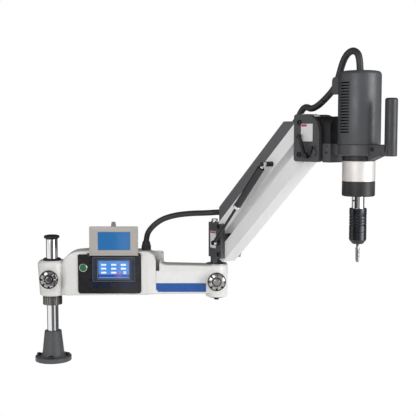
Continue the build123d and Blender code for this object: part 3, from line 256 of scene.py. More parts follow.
screenPicture = {
    "middle": (0.192, 0.28575),          # middle of the glass, x and z
    "columns": (-0.030, 0.0, 0.029),
    "rows": (0.0145, 0.003, -0.009),
    "keyHalf": (0.0078, 0.0027),
    "keyColour": (0.60, 0.70, 0.88),
    "glow": 0.45,
    # other patches: place from the middle, half size, colour
    "patches": (
        ((0.015, -0.009), (0.0025, 0.0022), (0.55, 0.04, 0.08)),
        ((0.033, -0.009), (0.004, 0.0045), (0.45, 0.52, 0.80)),
        ((0.0, -0.0185), (0.046, 0.0035), (0.035, 0.045, 0.22)),
        ((0.012, -0.0185), (0.010, 0.0022), (0.25, 0.05, 0.16)),
    ),
}


def screenArea(shader, x, z, half):
    # 1 inside a rectangle on the face of the screen, its place counted from the middle
    midX, midZ = screenPicture["middle"]
    return (shader.x - (midX + x)).size().less(half[0]) * (shader.z - (midZ + z)).size().less(half[1])


def screenFinish():
    # lit screen: pale keys on blue, a dark foot row and one red key
    picture = screenPicture
    shader = Shader("ScreenGlass", (0.045, 0.17, 0.50), 0.10, Coat_Weight=0.6, Coat_Roughness=0.05)
    shader.tint(shader.noise(28, 2).clamp(0.35, 0.65, 0, 0.5), (0.09, 0.26, 0.62))
    places = [(x, z) for z in picture["rows"] for x in picture["columns"]]
    keys = screenArea(shader, *places[0], picture["keyHalf"])
    for x, z in places[1:-1]:
        keys = keys + screenArea(shader, x, z, picture["keyHalf"])
    shader.tint(keys, picture["keyColour"])
    for (x, z), half, colour in picture["patches"]:
        shader.tint(screenArea(shader, x, z, half), colour)
    inputs = shader.surface.inputs
    shader.feed(inputs["Emission Color"], inputs["Base Color"].links[0].from_socket)
    inputs["Emission Strength"].default_value = picture["glow"]
    return shader


finishes = {
    "cast_iron_grey": powder("CastIronPaint", (0.075, 0.078, 0.083), 0.5, 500, 0.00012),
    "black_screws": turnedMetal("BlackenedScrew", (0.05, 0.05, 0.053), 0.35),
    "chrome_bar": polished("HardChrome", (0.82, 0.825, 0.84), 0.07),
    "chrome_knob": polished("ChromedKnob", (0.40, 0.39, 0.385), 0.11, 0.06),
    "knob_rim": polished("KnobRim", (0.22, 0.218, 0.215), 0.14, 0.06),
    "knob_centre": polished("KnobCentre", (0.26, 0.26, 0.265), 0.2, 0.06),
    "black_plastic": moulded("BlackMoulding", (0.019, 0.020, 0.023), 0.42),
    "burnished_steel": turnedMetal("BurnishedSteel", (0.062, 0.064, 0.072), 0.25),
    "white_casting": paint("WhiteEnamel", (0.775, 0.765, 0.745), 0.33, 420, 0.00004, 0.06, 0.25),
    "bronze_bush": turnedMetal("SinteredBronze", (0.30, 0.25, 0.19), 0.4),
    "wiper_rubber": moulded("WiperRubber", (0.015, 0.015, 0.017), 0.55),
    "panel_black": moulded("PanelBlack", (0.012, 0.0125, 0.015), 0.32, 900, 0.00002),
    "screen_glass": screenFinish(),
    "strip_blue": paint("BlueFilm", (0.005, 0.010, 0.032), 0.3),
    "flap_metal": paint("BeigeSheet", (0.44, 0.41, 0.38), 0.42, 700, 0.00003),
    "window_blue": paint("WindowFilm", (0.024, 0.165, 0.43), 0.16, 300, 0.00001),
    "bright_ring": polished("BrightRing", (0.75, 0.75, 0.76), 0.12),
    "button_green": moulded("GreenButton", (0.01, 0.16, 0.045), 0.3),
    "cover_grey": paint("WhiteSheet", (0.72, 0.715, 0.70), 0.4),
    "cable_black": moulded("CableSheath", (0.018, 0.018, 0.021), 0.48, 500, 0.00004),
    "graphite_paint": powder("GraphitePowder", (0.050, 0.051, 0.055), 0.42),
    "white_link": paint("CoatedAluminium", (0.84, 0.84, 0.84), 0.38, 600, 0.00003),
    "spring_black": paint("SpringEnamel", (0.012, 0.012, 0.014), 0.22, 600, 0.00001),
    "motor_black": powder("MotorCoverCoat", (0.050, 0.052, 0.058), 0.36, 1800, 0.00004),
    "motor_steel": powder("MotorBody", (0.02, 0.02, 0.023), 0.45),
    "satin_aluminium": turnedMetal("SatinHousing", (0.72, 0.685, 0.665), 0.48, 0.0012, 0.000008, 0.12, 0.72),
    "tool_steel": turnedMetal("ToolSteel", (0.42, 0.42, 0.43), 0.28),
    "plate_white": paint("BlankWhiteFilm", (0.80, 0.80, 0.80), 0.25, 600, 0.00001),
    "plate_blue": paint("BlankBlueFilm", (0.003, 0.08, 0.33), 0.25, 600, 0.00001),
    "panel_frame": moulded("ScreenFrame", (0.020, 0.030, 0.060), 0.32, 800, 0.00002),
    "label_white": paint("BlankLabel", (0.72, 0.72, 0.72), 0.35, 600, 0.00001),
    "label_red": paint("RedBand", (0.47, 0.04, 0.10), 0.35, 600, 0.00001),
    "housing_black": powder("HousingBlack", (0.007, 0.007, 0.009), 0.5, specular=0.3),
    "nose_black": moulded("NoseBlack", (0.017, 0.017, 0.018), 0.42, 900, 0.00002, 0.4),
    "cap_black": moulded("CapBlack", (0.009, 0.009, 0.011), 0.36, 900, 0.00002, 0.4),
    "collar_steel": turnedMetal("CollarSteel", (0.23, 0.22, 0.218), 0.38),
    "latch_grey": powder("LatchGrey", (0.19, 0.185, 0.18), 0.4),
    "duct_grey": powder("DuctGrey", (0.095, 0.096, 0.100), 0.42),
    "post_grey": powder("PostGrey", (0.066, 0.067, 0.071), 0.42),
    "bracket_tones": bracketFinish(),
    "flange_tones": flangeFinish(),
    "disc_grey": turnedMetal("SatinDisc", (0.55, 0.55, 0.55), 0.4),
    "bezel_grey": moulded("ScreenBezel", (0.12, 0.13, 0.15), 0.4, 900, 0.00001),
}

# nodes whose finish isn't the one of their slot
otherFinish = {
    "swivel_housing": "housing_black", "nose_ring": "nose_black", "head_bracket": "bracket_tones",
    "motor_flange": "flange_tones", "cable_duct": "duct_grey", "post_bracket": "post_grey",
    "flap_latch": "latch_grey", "clamp_lever": "cap_black",
}

slotOf = {part["node"]: part["material_slot"] for part in frame["record"]["subparts"]}
recordSlots = set(slotOf.values())
bodyOf = {node: body for body, nodes in frame["record"]["behaviour"]["bodies"].items() for node in nodes}
for nodeName, nodeObject in frame["nodes"].items():
    nodeObject.data.materials.clear()
    nodeObject.data.materials.append(finishes[slotOf[nodeName]].material)
print("finishes on", len(frame["nodes"]), "nodes")


# pieces; shapes are in millimetres until a piece is finished
def meshPiece(name, mesh, slotName):
    piece = addObject(name, mesh)
    mesh.materials.clear()
    mesh.materials.append(finishes[slotName].material)
    mesh.shade_smooth()
    slotName in recordSlots
    return piece


def shapePiece(name, shape, slotName, smoothAngle, bevel, segments, bevelAngle):
    # bmesh to a piece with its sharp edges kept and worn
    mesh = bpy.data.meshes.new(name)
    shape.to_mesh(mesh)
    shape.free()
    piece = meshPiece(name, mesh, slotName)
    mesh.set_sharp_from_angle(angle=radians(smoothAngle))
    if bevel:
        rounding = piece.modifiers.new("Edges", "BEVEL")
        rounding.width = bevel / 1000
        rounding.segments = segments
        rounding.limit_method = "ANGLE"
        rounding.angle_limit = radians(bevelAngle)
        rounding.harden_normals = True
    return piece


def finished(name, shape, slotName, body, place=rowPlace, replaced=(), bevel=0.0, smoothAngle=38):
    bmesh.ops.transform(shape, matrix=place @ Matrix.Scale(0.001, 4), verts=shape.verts)
    bmesh.ops.recalc_face_normals(shape, faces=shape.faces)
    piece = shapePiece(name, shape, slotName, smoothAngle, bevel, 2, 35)
    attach(piece, body)
    for node in replaced:
        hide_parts(node)


def dressed(name, node, bevel=0.5, segments=2, smoothAngle=32):
    # a CAD node's own shape, welded, with worn edges
    shape = bmesh.new()
    shape.from_mesh(frame["nodes"][node].data)
    bmesh.ops.remove_doubles(shape, verts=shape.verts, dist=0.00001)
    bmesh.ops.dissolve_limit(shape, angle_limit=radians(1), verts=shape.verts, edges=shape.edges)
    slotName = otherFinish.get(node, slotOf[node])
    piece = shapePiece(name, shape, slotName, smoothAngle, bevel, segments, smoothAngle)
    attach(piece, bodyOf[node])
    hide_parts(node)


# the shapes that pieces are made of
def softened(points, radius, steps=4):
    # rounds the corners of a closed outline; radius may be one number or one per corner
    rounded = []
    count = len(points)
    radii = radius if isinstance(radius, (list, tuple)) else [radius] * count
    for index, corner in enumerate(points):
        here = Vector(corner)
        before = Vector(points[index - 1]) - here
        after = Vector(points[(index + 1) % count]) - here
        bend = before.angle(after)
        reach = radii[index] / tan(bend / 2) if bend > 0.01 else 0
        reach = min(reach, before.length * 0.49, after.length * 0.49)
        if radii[index] <= 0 or reach < 0.01 or bend > pi - 0.02:
            rounded.append(corner)
            continue
        start = here + before.normalized() * reach
        end = here + after.normalized() * reach
        for step in range(steps + 1):
            t = step / steps
            point = start.lerp(here, t).lerp(here.lerp(end, t), t)
            rounded.append((point.x, point.y))
    return rounded


def bridge(shape, loops):
    # walls between neighbouring loops of as many points
    for near, far in zip(loops, loops[1:]):
        for k in range(len(near)):
            n = (k + 1) % len(near)
            shape.faces.new((near[k], near[n], far[n], far[k]))


def around(sides):
    return [2 * pi * k / sides for k in range(sides)]


def lathe(profile, segments=96, place=rowPlace):
    # closed profile of (radius, z) turned about Z; points on the axis become one pole
    shape = bmesh.new()
    rings = []
    for radius, z in profile:
        rings.append([shape.verts.new(place @ Vector((radius * cos(a), radius * sin(a), z)))
                      for a in (around(segments) if radius > 1e-6 else [0])])
    for lower, upper in zip(rings, rings[1:] + rings[:1]):
        if len(lower) == len(upper) == segments:
            bridge(shape, [lower, upper])
        elif len(lower) == segments:
            for k in range(segments):
                shape.faces.new((lower[k], lower[(k + 1) % segments], upper[0]))
        elif len(upper) == segments:
            for k in range(segments):
                shape.faces.new((lower[0], upper[k], upper[(k + 1) % segments]))
    return shape


def prism(outline, low, high):
    # outline in X and Z, as thick as from low to high in Y
    shape = bmesh.new()
    near, far = [[shape.verts.new((x, y, z)) for x, z in outline] for y in (low, high)]
    shape.faces.new(near)
    shape.faces.new(reversed(far))
    bridge(shape, [far, near])
    return shape


def block(xRange, zRange, radius, steps=4, inset=0.0):
    # rectangle with round corners, moved inwards on all sides by inset
    x0, x1 = xRange[0] + inset, xRange[1] - inset
    z0, z1 = zRange[0] + inset, zRange[1] - inset
    return softened([(x0, z0), (x1, z0), (x1, z1), (x0, z1)], radius, steps)


def openFrame(levels):
    # closed ring of walls through outlines of as many points, each at its own depth
    shape = bmesh.new()
    loops = [[shape.verts.new((x, y, z)) for x, z in outline] for outline, y in levels]
    bridge(shape, loops + loops[:1])
    return shape


def joinInto(shape, extra):
    # adds one bmesh to another
    mesh = bpy.data.meshes.new("Join")
    extra.to_mesh(mesh)
    extra.free()
    shape.from_mesh(mesh)
    bpy.data.meshes.remove(mesh)


alongX = Matrix.Rotation(pi / 2, 4, "Y")      # a part drawn along Z lies along X


def facing(x, y, z):
    # a part drawn along Z lies with its top towards the operator
    return Matrix.Translation((x, y, z)) @ Matrix.Rotation(pi / 2, 4, "X")


def capScrew(headRadius, headHeight, shankRadius, shankLength):
    # hexagon socket screw, head on z = 0, shank below
    shape = bmesh.new()
    edge = headHeight * 0.12
    socket = headRadius * 0.55
    depth = headHeight * 0.55
    angles = around(24)
    outer = [(shankRadius, -shankLength + 0.5), (shankRadius, 0), (headRadius - edge * 0.5, 0),
             (headRadius, edge * 0.5), (headRadius, headHeight - edge), (headRadius - edge, headHeight)]
    rings = [[shape.verts.new((r * cos(a), r * sin(a), z)) for a in angles] for r, z in outer]

    def hexRadius(angle):
        return socket * cos(pi / 6) / cos((angle % (pi / 3)) - pi / 6)

    for z in (headHeight, headHeight - depth):
        rings.append([shape.verts.new((hexRadius(a) * cos(a), hexRadius(a) * sin(a), z)) for a in angles])
    bridge(shape, rings)
    shape.faces.new(rings[-1])
    shape.faces.new(reversed(rings[0]))
    return shape


# what repeats round a circle
class Growth(Graph):
    # a Geometry Nodes tree with named inputs, grown once into a plain mesh
    def __init__(self, name, inputs):
        super().__init__(bpy.data.node_groups.new(name, "GeometryNodeTree"))
        self.tree.interface.new_socket(name="Geometry", in_out="OUTPUT", socket_type="NodeSocketGeometry")
        for label, kind in inputs.items():
            self.tree.interface.new_socket(name=label, in_out="INPUT", socket_type="NodeSocket" + kind)
        given = self.tree.nodes.new("NodeGroupInput")
        self.inputs = {label: Signal(self, given.outputs[label]) for label in inputs}

    def end(self, instances):
        real = self.add("GeometryNodeRealizeInstances", {}, {"Geometry": instances})
        coated = self.add("GeometryNodeSetMaterial", {}, {
            "Geometry": real.outputs[0], "Material": self.inputs["Material"]})
        result = self.tree.nodes.new("NodeGroupOutput")
        self.tree.links.new(coated.outputs[0], result.inputs[0])

    def grow(self, values):
        host = addObject("Grower", bpy.data.meshes.new("Grower"))
        modifier = host.modifiers.new("Grow", "NODES")
        modifier.node_group = self.tree
        for socket in self.tree.interface.items_tree:
            if socket.in_out == "INPUT":
                modifier[socket.identifier] = values[socket.name]
        bpy.context.view_layer.update()
        mesh = bpy.data.meshes.new_from_object(host.evaluated_get(bpy.context.evaluated_depsgraph_get()))
        shape = bmesh.new()
        shape.from_mesh(mesh)
        bpy.data.objects.remove(host)
        bpy.data.meshes.remove(mesh)
        return shape


def makeRingTree():
    # copies of one element, evenly round a circle about Z, each turned to face outwards
    tree = Growth("RoundTheRing", {
        "Element": "Object", "Count": "Int", "Radius": "Float", "Material": "Material"})
    circle = tree.add("GeometryNodeMeshCircle", {"fill_type": "NONE"}, {
        "Vertices": tree.inputs["Count"], "Radius": tree.inputs["Radius"]})
    index = Signal(tree, tree.add("GeometryNodeInputIndex").outputs[0])
    turn = tree.add("ShaderNodeCombineXYZ", {}, {"Z": index * (2 * pi) / tree.inputs["Count"]})
    element = tree.add("GeometryNodeObjectInfo", {}, {"Object": tree.inputs["Element"]})
    copies = tree.add("GeometryNodeInstanceOnPoints", {}, {
        "Points": circle.outputs[0], "Instance": element.outputs["Geometry"], "Rotation": turn.outputs[0]})
    tree.end(copies.outputs[0])
    return tree


ringTree = makeRingTree()


def ringOf(shape, count, radius, slotName):
    mesh = bpy.data.meshes.new("Element")
    shape.to_mesh(mesh)
    shape.free()
    element = addObject("Element", mesh)
    grown = ringTree.grow({"Element": element, "Count": count, "Radius": float(radius),
                           "Material": finishes[slotName].material})
    bpy.data.objects.remove(element)
    return grown


# stand: foot, column with its cap, and the collar under the swing arm
stand = {
    "footRadius": 55.0, "footRim": 14.0, "coneLow": 34.0, "coneHigh": 25.5, "footHeight": 92.0,
    "bolts": 4, "boltCircle": 44.0, "boltHead": 6.5, "boltHeadHeight": 8.0, "boltShank": 4.0,
    "boltDepth": 36.0,
    "columnRadius": 17.5, "columnGap": 0.2, "columnFoot": 4.0, "columnTop": 373.0,
    "capRadius": 23.5, "capHeight": 12.0, "capGap": 3.4,
    "collarRadius": 29.0, "collarLow": 173.5, "collarHigh": 198.0, "collarRibs": 26, "collarRib": 2.4,
    "collarRibDepth": 3.4,
}


def makeStand():
    s = stand
    column, low, top = s["columnRadius"], s["columnFoot"], s["columnTop"]
    rim, high, hole = s["footRim"], s["footHeight"], s["columnRadius"] + s["columnGap"]
    foot = softened([(0, 0), (s["footRadius"], 0), (s["footRadius"], rim), (s["coneLow"], rim + 1),
                     (s["coneHigh"], high), (hole, high), (hole, low), (0, low)],
                    [0, 1.5, 3, 9, 2, 1, 0, 0], 6)
    finished("foot", lathe(foot, 128), "cast_iron_grey", "stand", replaced=["base_flange"])
    screw = capScrew(s["boltHead"], s["boltHeadHeight"], s["boltShank"], s["boltDepth"])
    bolts = ringOf(screw, s["bolts"], s["boltCircle"], "black_screws")
    bmesh.ops.translate(bolts, verts=bolts.verts, vec=(0, 0, rim))
    finished("footBolts", bolts, "black_screws", "stand", replaced=["base_bolts"])
    bar = softened([(0, low), (column, low), (column, top), (0, top)], [0, 1, 0.6, 0])
    finished("columnBar", lathe(bar, 128), "chrome_bar", "stand", replaced=["column"])
    radius, capTop = s["capRadius"], top + s["capHeight"]
    cap = softened([(0, top), (column + 1, top), (column + 1.5, top + 3), (radius, top + s["capGap"]),
                    (radius, capTop - 2), (radius - 6, capTop), (0, capTop)], [0, 0.6, 0.8, 2, 4.5, 6, 0], 6)
    finished("columnTopCap", lathe(cap, 96), "cap_black", "stand", replaced=["column_cap"])
    makeCollar()


def makeCollar():
    # ribbed ring under the swing arm
    s = stand
    inner, radius, low, high = s["columnRadius"] + 0.02, s["collarRadius"], s["collarLow"], s["collarHigh"]
    ring = softened([(inner, low), (radius - 1.5, low), (radius - 1.5, high - 5), (radius - 4, high - 4.5),
                     (radius - 4.4, high), (inner, high)], [0.5, 1.5, 0.5, 0.5, 0.8, 0.5])
    collar = lathe(ring, 104)
    rib, depth = s["collarRib"], s["collarRibDepth"]
    tooth = prism(block((-rib, rib), (0, high - low - 0.4), rib / 2), -depth, 0)
    bmesh.ops.bevel(tooth, geom=tooth.edges[:], offset=0.5, segments=1, affect="EDGES")
    bmesh.ops.rotate(tooth, verts=tooth.verts, cent=(0, 0, 0), matrix=Matrix.Rotation(pi / 2, 3, "Z"))
    teeth = ringOf(tooth, s["collarRibs"], radius - depth, "collar_steel")
    bmesh.ops.translate(teeth, verts=teeth.verts, vec=(0, 0, low + 0.2))
    joinInto(collar, teeth)
    finished("stopCollarRing", collar, "collar_steel", "stand", replaced=["stop_collar"])


# swing arm: casting, wiper, clamp knobs and blank plate
arm = {
    "knobRadius": 28.0, "knobDepth": 20.0, "knobHub": 9.6, "knobRim": 1.6,
    "knobGrooves": 8, "knobGroove": 3.4, "grooveInside": 3.0, "grooveBelow": 7.0,
    "grooveEdge": 0.55,       # cosine where a groove starts
    "columnKnob": (0.0, 258.5, -47.0), "elbowKnob": (500.0, 250.0, -37.5),      # x, z, and y of the back
    "columnStud": -24, "elbowStud": -15,
    "wiperInner": 17.55, "wiperRadius": 27.6, "wiperLow": 309.0,
    "decalX": (318.0, 468.0), "decalZ": (216.0, 280.0), "decalBlue": 0.42, "decalY": (-31.35, -30.7),
}


def makeKnob(name, node, at, studEnd):
    a = arm
    radius, depth, hub = a["knobRadius"], a["knobDepth"], a["knobHub"]
    inner = radius - a["knobRim"]
    place = facing(at[0] / 1000, at[2] / 1000, at[1] / 1000)
    body = softened([(0, 0), (16, 0), (inner - 3, 5), (inner, 8), (inner, depth - 4.6),
                     (hub + 6, depth - 0.5), (hub + 1.5, depth - 5.5), (hub + 0.5, depth - 5.5),
                     (hub + 0.5, depth - 8), (0, depth - 8)], [0, 1, 3, 3, 5, 1.5, 1, 0.3, 0, 0], 6)
    shape = lathe(body, 128)
    for vertex in shape.verts:
        flat = hypot(vertex.co.x, vertex.co.y)
        lobe = cos(a["knobGrooves"] * atan2(vertex.co.y, vertex.co.x))
        groove = max(0.0, lobe - a["grooveEdge"]) / (1 - a["grooveEdge"])
        outside = flat - hub - a["grooveInside"]
        if outside > 0 and vertex.co.z > depth - a["grooveBelow"]:
            vertex.co.z -= a["knobGroove"] * groove * min(1, outside / 6)
    finished(name, shape, "chrome_knob", node, place, [node])
    rim = softened([(inner - 3, 4), (radius, 8), (radius, depth - 4.4), (inner + 0.6, depth - 3.2),
                    (inner - 0.3, depth - 4.2), (inner - 0.3, 7)], [0.2, 2, 1.4, 0.5, 0.2, 0.2], 5)
    finished(name + "Rim", lathe(rim, 128), "knob_rim", node, place)
    middle = softened([(0, depth - 8), (hub, depth - 8), (hub, depth - 1), (hub - 3, depth), (0, depth)],
                      [0, 0, 1.4, 3, 0], 5)
    finished(name + "Centre", lathe(middle, 64), "knob_centre", node, place)
    stud = [(0, studEnd), (5, studEnd), (5, 1), (0, 1)]
    finished(name + "Stud", lathe(stud, 32), "black_screws", node, place)


def makeDecal():
    # blank plate along the neck, white over blue
    a = arm
    low, high = a["decalZ"]
    split = low + (high - low) * a["decalBlue"]
    for name, slotName, heights in (("plateWhite", "plate_white", (split, high)),
                                    ("plateBlue", "plate_blue", (low, split))):
        finished(name, prism(block(a["decalX"], heights, 0.4), *a["decalY"]), slotName, "swing_arm")


def makeSwingArm():
    a = arm
    dressed("castingBody", "arm_casting", 0.8, 3, 34)
    inner, radius, low = a["wiperInner"], a["wiperRadius"], a["wiperLow"]
    wiper = softened([(inner, low), (radius, low), (radius, low + 2), (radius - 3, low + 6),
                      (inner + 3, low + 3.5), (inner, low + 5.8)], [0, 0.5, 1, 1.2, 1.5, 0.3], 4)
    finished("wiperSeal", lathe(wiper, 96), "wiper_rubber", "swing_arm", replaced=["column_wiper"])
    makeKnob("columnClampKnob", "column_knob", a["columnKnob"], a["columnStud"])
    makeKnob("elbowClampKnob", "elbow_knob", a["elbowKnob"], a["elbowStud"])
    makeDecal()


# control panel with its screen, film strip and start button
panel = {
    "face": -40.4,
    "screen": ((128.1, 256.8), (248.7, 323.8)), "screenDepth": 4.5,
    "glass": ((146.0, 238.0), (259.5, 312.0)), "glassSink": 1.4, "glassBack": -32.0,
    "strip": ((129.0, 251.5), (230.2, 247.4)), "stripDepth": 2.0,
    "screwAt": ((122.0, 306.0), (262.6, 306.0), (122.0, 254.5), (262.6, 254.5)),
    "screw": (3.0, 2.5, 1.5, 2.4),      # radius and height of the head, radius and length of the shank
    "buttonX": 100.3, "buttonZ": 291.3, "bezelRadius": 12.25, "buttonRadius": 8.75, "buttonProud": 5.0,
}


def makeScreen():
    p = panel
    face, front = p["face"], p["face"] - p["screenDepth"]
    screen, glass = p["screen"], p["glass"]
    outer, step = block(*screen, 4, 5), block(*screen, 3, 5, inset=3.2)
    lip, window = block(*glass, 2.4, 5, inset=-3.4), block(*glass, 2, 5)
    border = openFrame([(outer, face), (outer, front + 1.0), (step, front), (lip, front), (lip, front + 0.7),
                        (window, front + 0.7), (window, face)])
    finished("screenFrame", border, "panel_frame", "swing_arm", replaced=["touchscreen_frame"], bevel=0.25)
    lines = bmesh.new()
    for outline, inside, back in ((block(*screen, 3.4, 5, inset=0.9), block(*screen, 3, 5, inset=2.0), 1.2),
                                  (block(*glass, 2.4, 5, inset=-3.2), block(*glass, 2, 5, inset=-1.2), 0.9)):
        near, far = front - 0.15, front + back
        joinInto(lines, openFrame([(outline, near), (inside, near), (inside, far), (outline, far)]))
    finished("screenRimLines", lines, "bezel_grey", "swing_arm")
    pane = prism(block(*glass, 2, inset=0.2), front + p["glassSink"], p["glassBack"])
    finished("screenDisplay", pane, "screen_glass", "swing_arm", replaced=["touchscreen_display"])


def makeButton():
    p = panel
    place = facing(p["buttonX"] / 1000, p["face"] / 1000, p["buttonZ"] / 1000)
    radius, inner, proud = p["bezelRadius"], p["buttonRadius"], p["buttonProud"]
    bezel = softened([(inner + 0.3, 0), (radius, 0), (radius, 2.2), (radius - 1.4, 3), (inner + 0.3, 3)],
                     [0, 0.3, 1, 0.8, 0.4], 5)
    finished("buttonRing", lathe(bezel, 64), "bright_ring", "swing_arm", place, ["button_bezel"])
    dome = softened([(0, -2.4), (inner, -2.4), (inner, proud - 1.2), (inner - 2, proud), (0, proud - 0.8)],
                    [0, 0.3, 1, 1.5, 0], 6)
    finished("startButtonCap", lathe(dome, 64), "button_green", "start_button", place, ["start_button"])


def makePanel():
    p = panel
    face = p["face"]
    dressed("panelPlate", "control_panel", 0.5, 2, 34)
    makeScreen()
    strip = prism(block(*p["strip"], 2), face - p["stripDepth"], face)
    finished("functionFilm", strip, "strip_blue", "swing_arm", replaced=["function_strip"], bevel=0.4)
    dressed("latchCatch", "flap_catch", 0.5)
    screws = bmesh.new()
    for x, z in p["screwAt"]:
        screw = capScrew(*p["screw"])
        bmesh.ops.transform(screw, matrix=facing(x, face, z), verts=screw.verts)
        joinInto(screws, screw)
    finished("panelCornerScrews", screws, "black_screws", "swing_arm", replaced=["panel_screws"])
    makeButton()


# flap over the screen, up on its hinge
flap = {
    "axisY": -49.5, "axisZ": 332.0, "x": (120.6, 266.0), "length": 84.5, "thick": 5.0,
    "window": ((146.0, 242.5), (345.5, 399.8)), "filmHalf": 0.9, "barrelRadius": 3.5, "pinRadius": 1.55,
}


def makeFlap():
    f = flap
    axisY, axisZ = f["axisY"], f["axisZ"]
    near, far = axisY - f["thick"] / 2, axisY + f["thick"] / 2
    sheet = (f["x"], (axisZ + 1.5, axisZ + f["length"]))
    outer, step = block(*sheet, 3.5, 5), block(*sheet, 2.5, 5, inset=1.6)
    window, inner = block(*f["window"], 1.5, 5, inset=-1.4), block(*f["window"], 1.2, 5)
    shape = openFrame([(outer, far - 0.8), (outer, near + 0.8), (step, near), (window, near),
                       (inner, near + 1.2), (inner, far - 1.2), (window, far), (step, far)])
    pin, barrel, width = f["pinRadius"], f["barrelRadius"], f["x"][1] - f["x"][0]
    hinge = softened([(pin, 0), (barrel, 0), (barrel, width), (pin, width)], 0.4)
    joinInto(shape, lathe(hinge, 32, Matrix.Translation((f["x"][0], axisY, axisZ)) @ alongX))
    finished("flapSheet", shape, "flap_metal", "screen_flap", replaced=["flap_frame"], bevel=0.2)
    film = prism(block(*f["window"], 1, inset=-0.4), axisY - f["filmHalf"], axisY + f["filmHalf"])
    finished("flapFilm", film, "window_blue", "screen_flap", replaced=["flap_window"])
    dressed("flapPull", "flap_latch", 0.4)
    dressed("flapHinges", "flap_hinge", 0.4)


# blank labels
labels = {
    "thick": 0.35, "margin": 1.2,
    "post": {"x": (-13.0, 15.0), "z": (347.0, 398.0), "face": -14.0, "band": 5.0, "bandShare": 1.0},
    "head": {"x": (6.0, 50.0), "z": (-48.2, -3.2), "face": -36.0, "band": 6.0, "bandShare": 0.5},
}


def makeLabel(name, sizes, body, place):
    left, right = sizes["x"]
    face, margin = sizes["face"], labels["margin"]
    front = face - labels["thick"]
    plate = prism(block(sizes["x"], sizes["z"], 1.2), front, face + 0.2)
    finished(name + "Plate", plate, "label_white", body, place)
    bandX = (left + margin, left + margin + (right - left - 2 * margin) * sizes["bandShare"])
    bandTop = sizes["z"][1] - margin
    band = prism(block(bandX, (bandTop - sizes["band"], bandTop), 0.6), front - 0.1, front + 0.1)
    finished(name + "Band", band, "label_red", body, place)


# gas spring, drawn along +X from its lower eye
spring = {
    "side": -52.0, "low": (58.8, 371.0), "length": 327.67, "slope": radians(46.60),
    "rod": 4.0, "rodEnd": 262.0, "rodHead": 6.0, "rodHeadEnd": 20.0,
    "tube": 10.0, "tubeLow": 153.7, "tubeHigh": 313.7, "bore": 8.3, "tubeEnd": 3.0,
    "collar": 10.8, "collarBore": 8.1, "collarLength": 9.0, "fitting": 4.0, "fittingNut": 5.5,
    "eye": 7.5, "eyeHalf": 4.5, "stud": 4.05,
}


def springEye(x):
    s = spring
    half = s["eyeHalf"]
    ring = softened([(s["stud"], -half), (s["eye"], -half), (s["eye"], half), (s["stud"], half)],
                    [0.4, 1.2, 1.2, 0.4])
    return lathe(ring, 48, facing(x, 0, 0))


def makeSpring():
    s = spring
    place = armPlace @ Matrix.Translation((s["low"][0] / 1000, s["side"] / 1000, s["low"][1] / 1000))
    place = place @ Matrix.Rotation(-s["slope"], 4, "Y")
    rod, head, headEnd, start = s["rod"], s["rodHead"], s["rodHeadEnd"], s["eye"] - 1.5
    bar = softened([(0, start), (head, start), (head, headEnd - 1), (rod, headEnd), (rod, s["rodEnd"]),
                    (0, s["rodEnd"])], [0, 1, 1, 0.5, 0.5, 0])
    finished("springRodEye", springEye(0), "bright_ring", "spring_rod", place)
    finished("springRodBar", lathe(bar, 40, alongX), "spring_black", "spring_rod", place, ["spring_rod"])
    bore, outer, low, high = s["bore"], s["tube"], s["tubeLow"], s["tubeHigh"]
    deep = high - s["tubeEnd"]
    tube = softened([(bore, low + 0.5), (outer, low + 0.5), (outer, high), (0, high), (0, deep),
                     (bore, deep)], [0.2, 0.2, 2.5, 0, 0, 1])
    finished("springTube", lathe(tube, 56, alongX), "spring_black", "spring_cylinder", place,
             ["spring_cylinder"])
    inner, outer, end = s["collarBore"], s["collar"], low + s["collarLength"]
    collar = softened([(inner, low - 0.4), (outer - 1, low - 0.4), (outer, low + 1.5), (outer, end - 1),
                       (outer - 1, end), (inner, end)], [0.2, 0.6, 0.6, 0.6, 0.3, 0.2])
    finished("springCollar", lathe(collar, 56, alongX), "bright_ring", "spring_cylinder", place)
    neck, nut, end = s["fitting"], s["fittingNut"], s["length"] - s["eye"] + 1.5
    outline = softened([(0, high - 1), (neck, high - 1), (neck, high + 0.5), (nut, high + 1), (nut, high + 5),
                        (neck, high + 5.5), (neck, end), (0, end)], 0.3)
    fitting = lathe(outline, 40, alongX)
    joinInto(fitting, springEye(s["length"]))
    finished("springFitting", fitting, "bright_ring", "spring_cylinder", place)


# tap, with its thread and flutes
tapSizes = {
    "radius": 5.3, "pitch": 1.5, "threadDepth": 0.85, "low": -346.0, "threadTop": -316.0, "runOut": 2.0,
    "shoulder": -311.0, "shoulderHeight": 2.2, "shank": 3.5, "top": -270.0, "lead": 7.0, "leadCut": 1.8,
    "flutes": 4, "fluteRadius": 1.9, "fluteOut": 5.7, "sides": 96, "stepsPerPitch": 8,
}


def tapRadius(angle, z):
    t = tapSizes
    radius = t["radius"] - t["leadCut"] * max(0, 1 - (z - t["low"]) / t["lead"])
    phase = (z / t["pitch"] - angle / (2 * pi)) % 1
    if z < t["threadTop"]:
        radius -= t["threadDepth"] * max(0, 1 - abs(phase - 0.5) * 2.4)
    if z < t["threadTop"] + t["runOut"]:
        away = (angle + pi / t["flutes"]) % (2 * pi / t["flutes"]) - pi / t["flutes"]
        across = t["fluteOut"] * sin(away)
        leaving = max(0, (z - t["threadTop"]) / t["runOut"])
        if abs(across) < t["fluteRadius"]:
            depth = t["fluteOut"] * cos(away) - sqrt(t["fluteRadius"] ** 2 - across ** 2)
            radius = min(radius, depth + leaving * (t["radius"] - depth))
    return radius


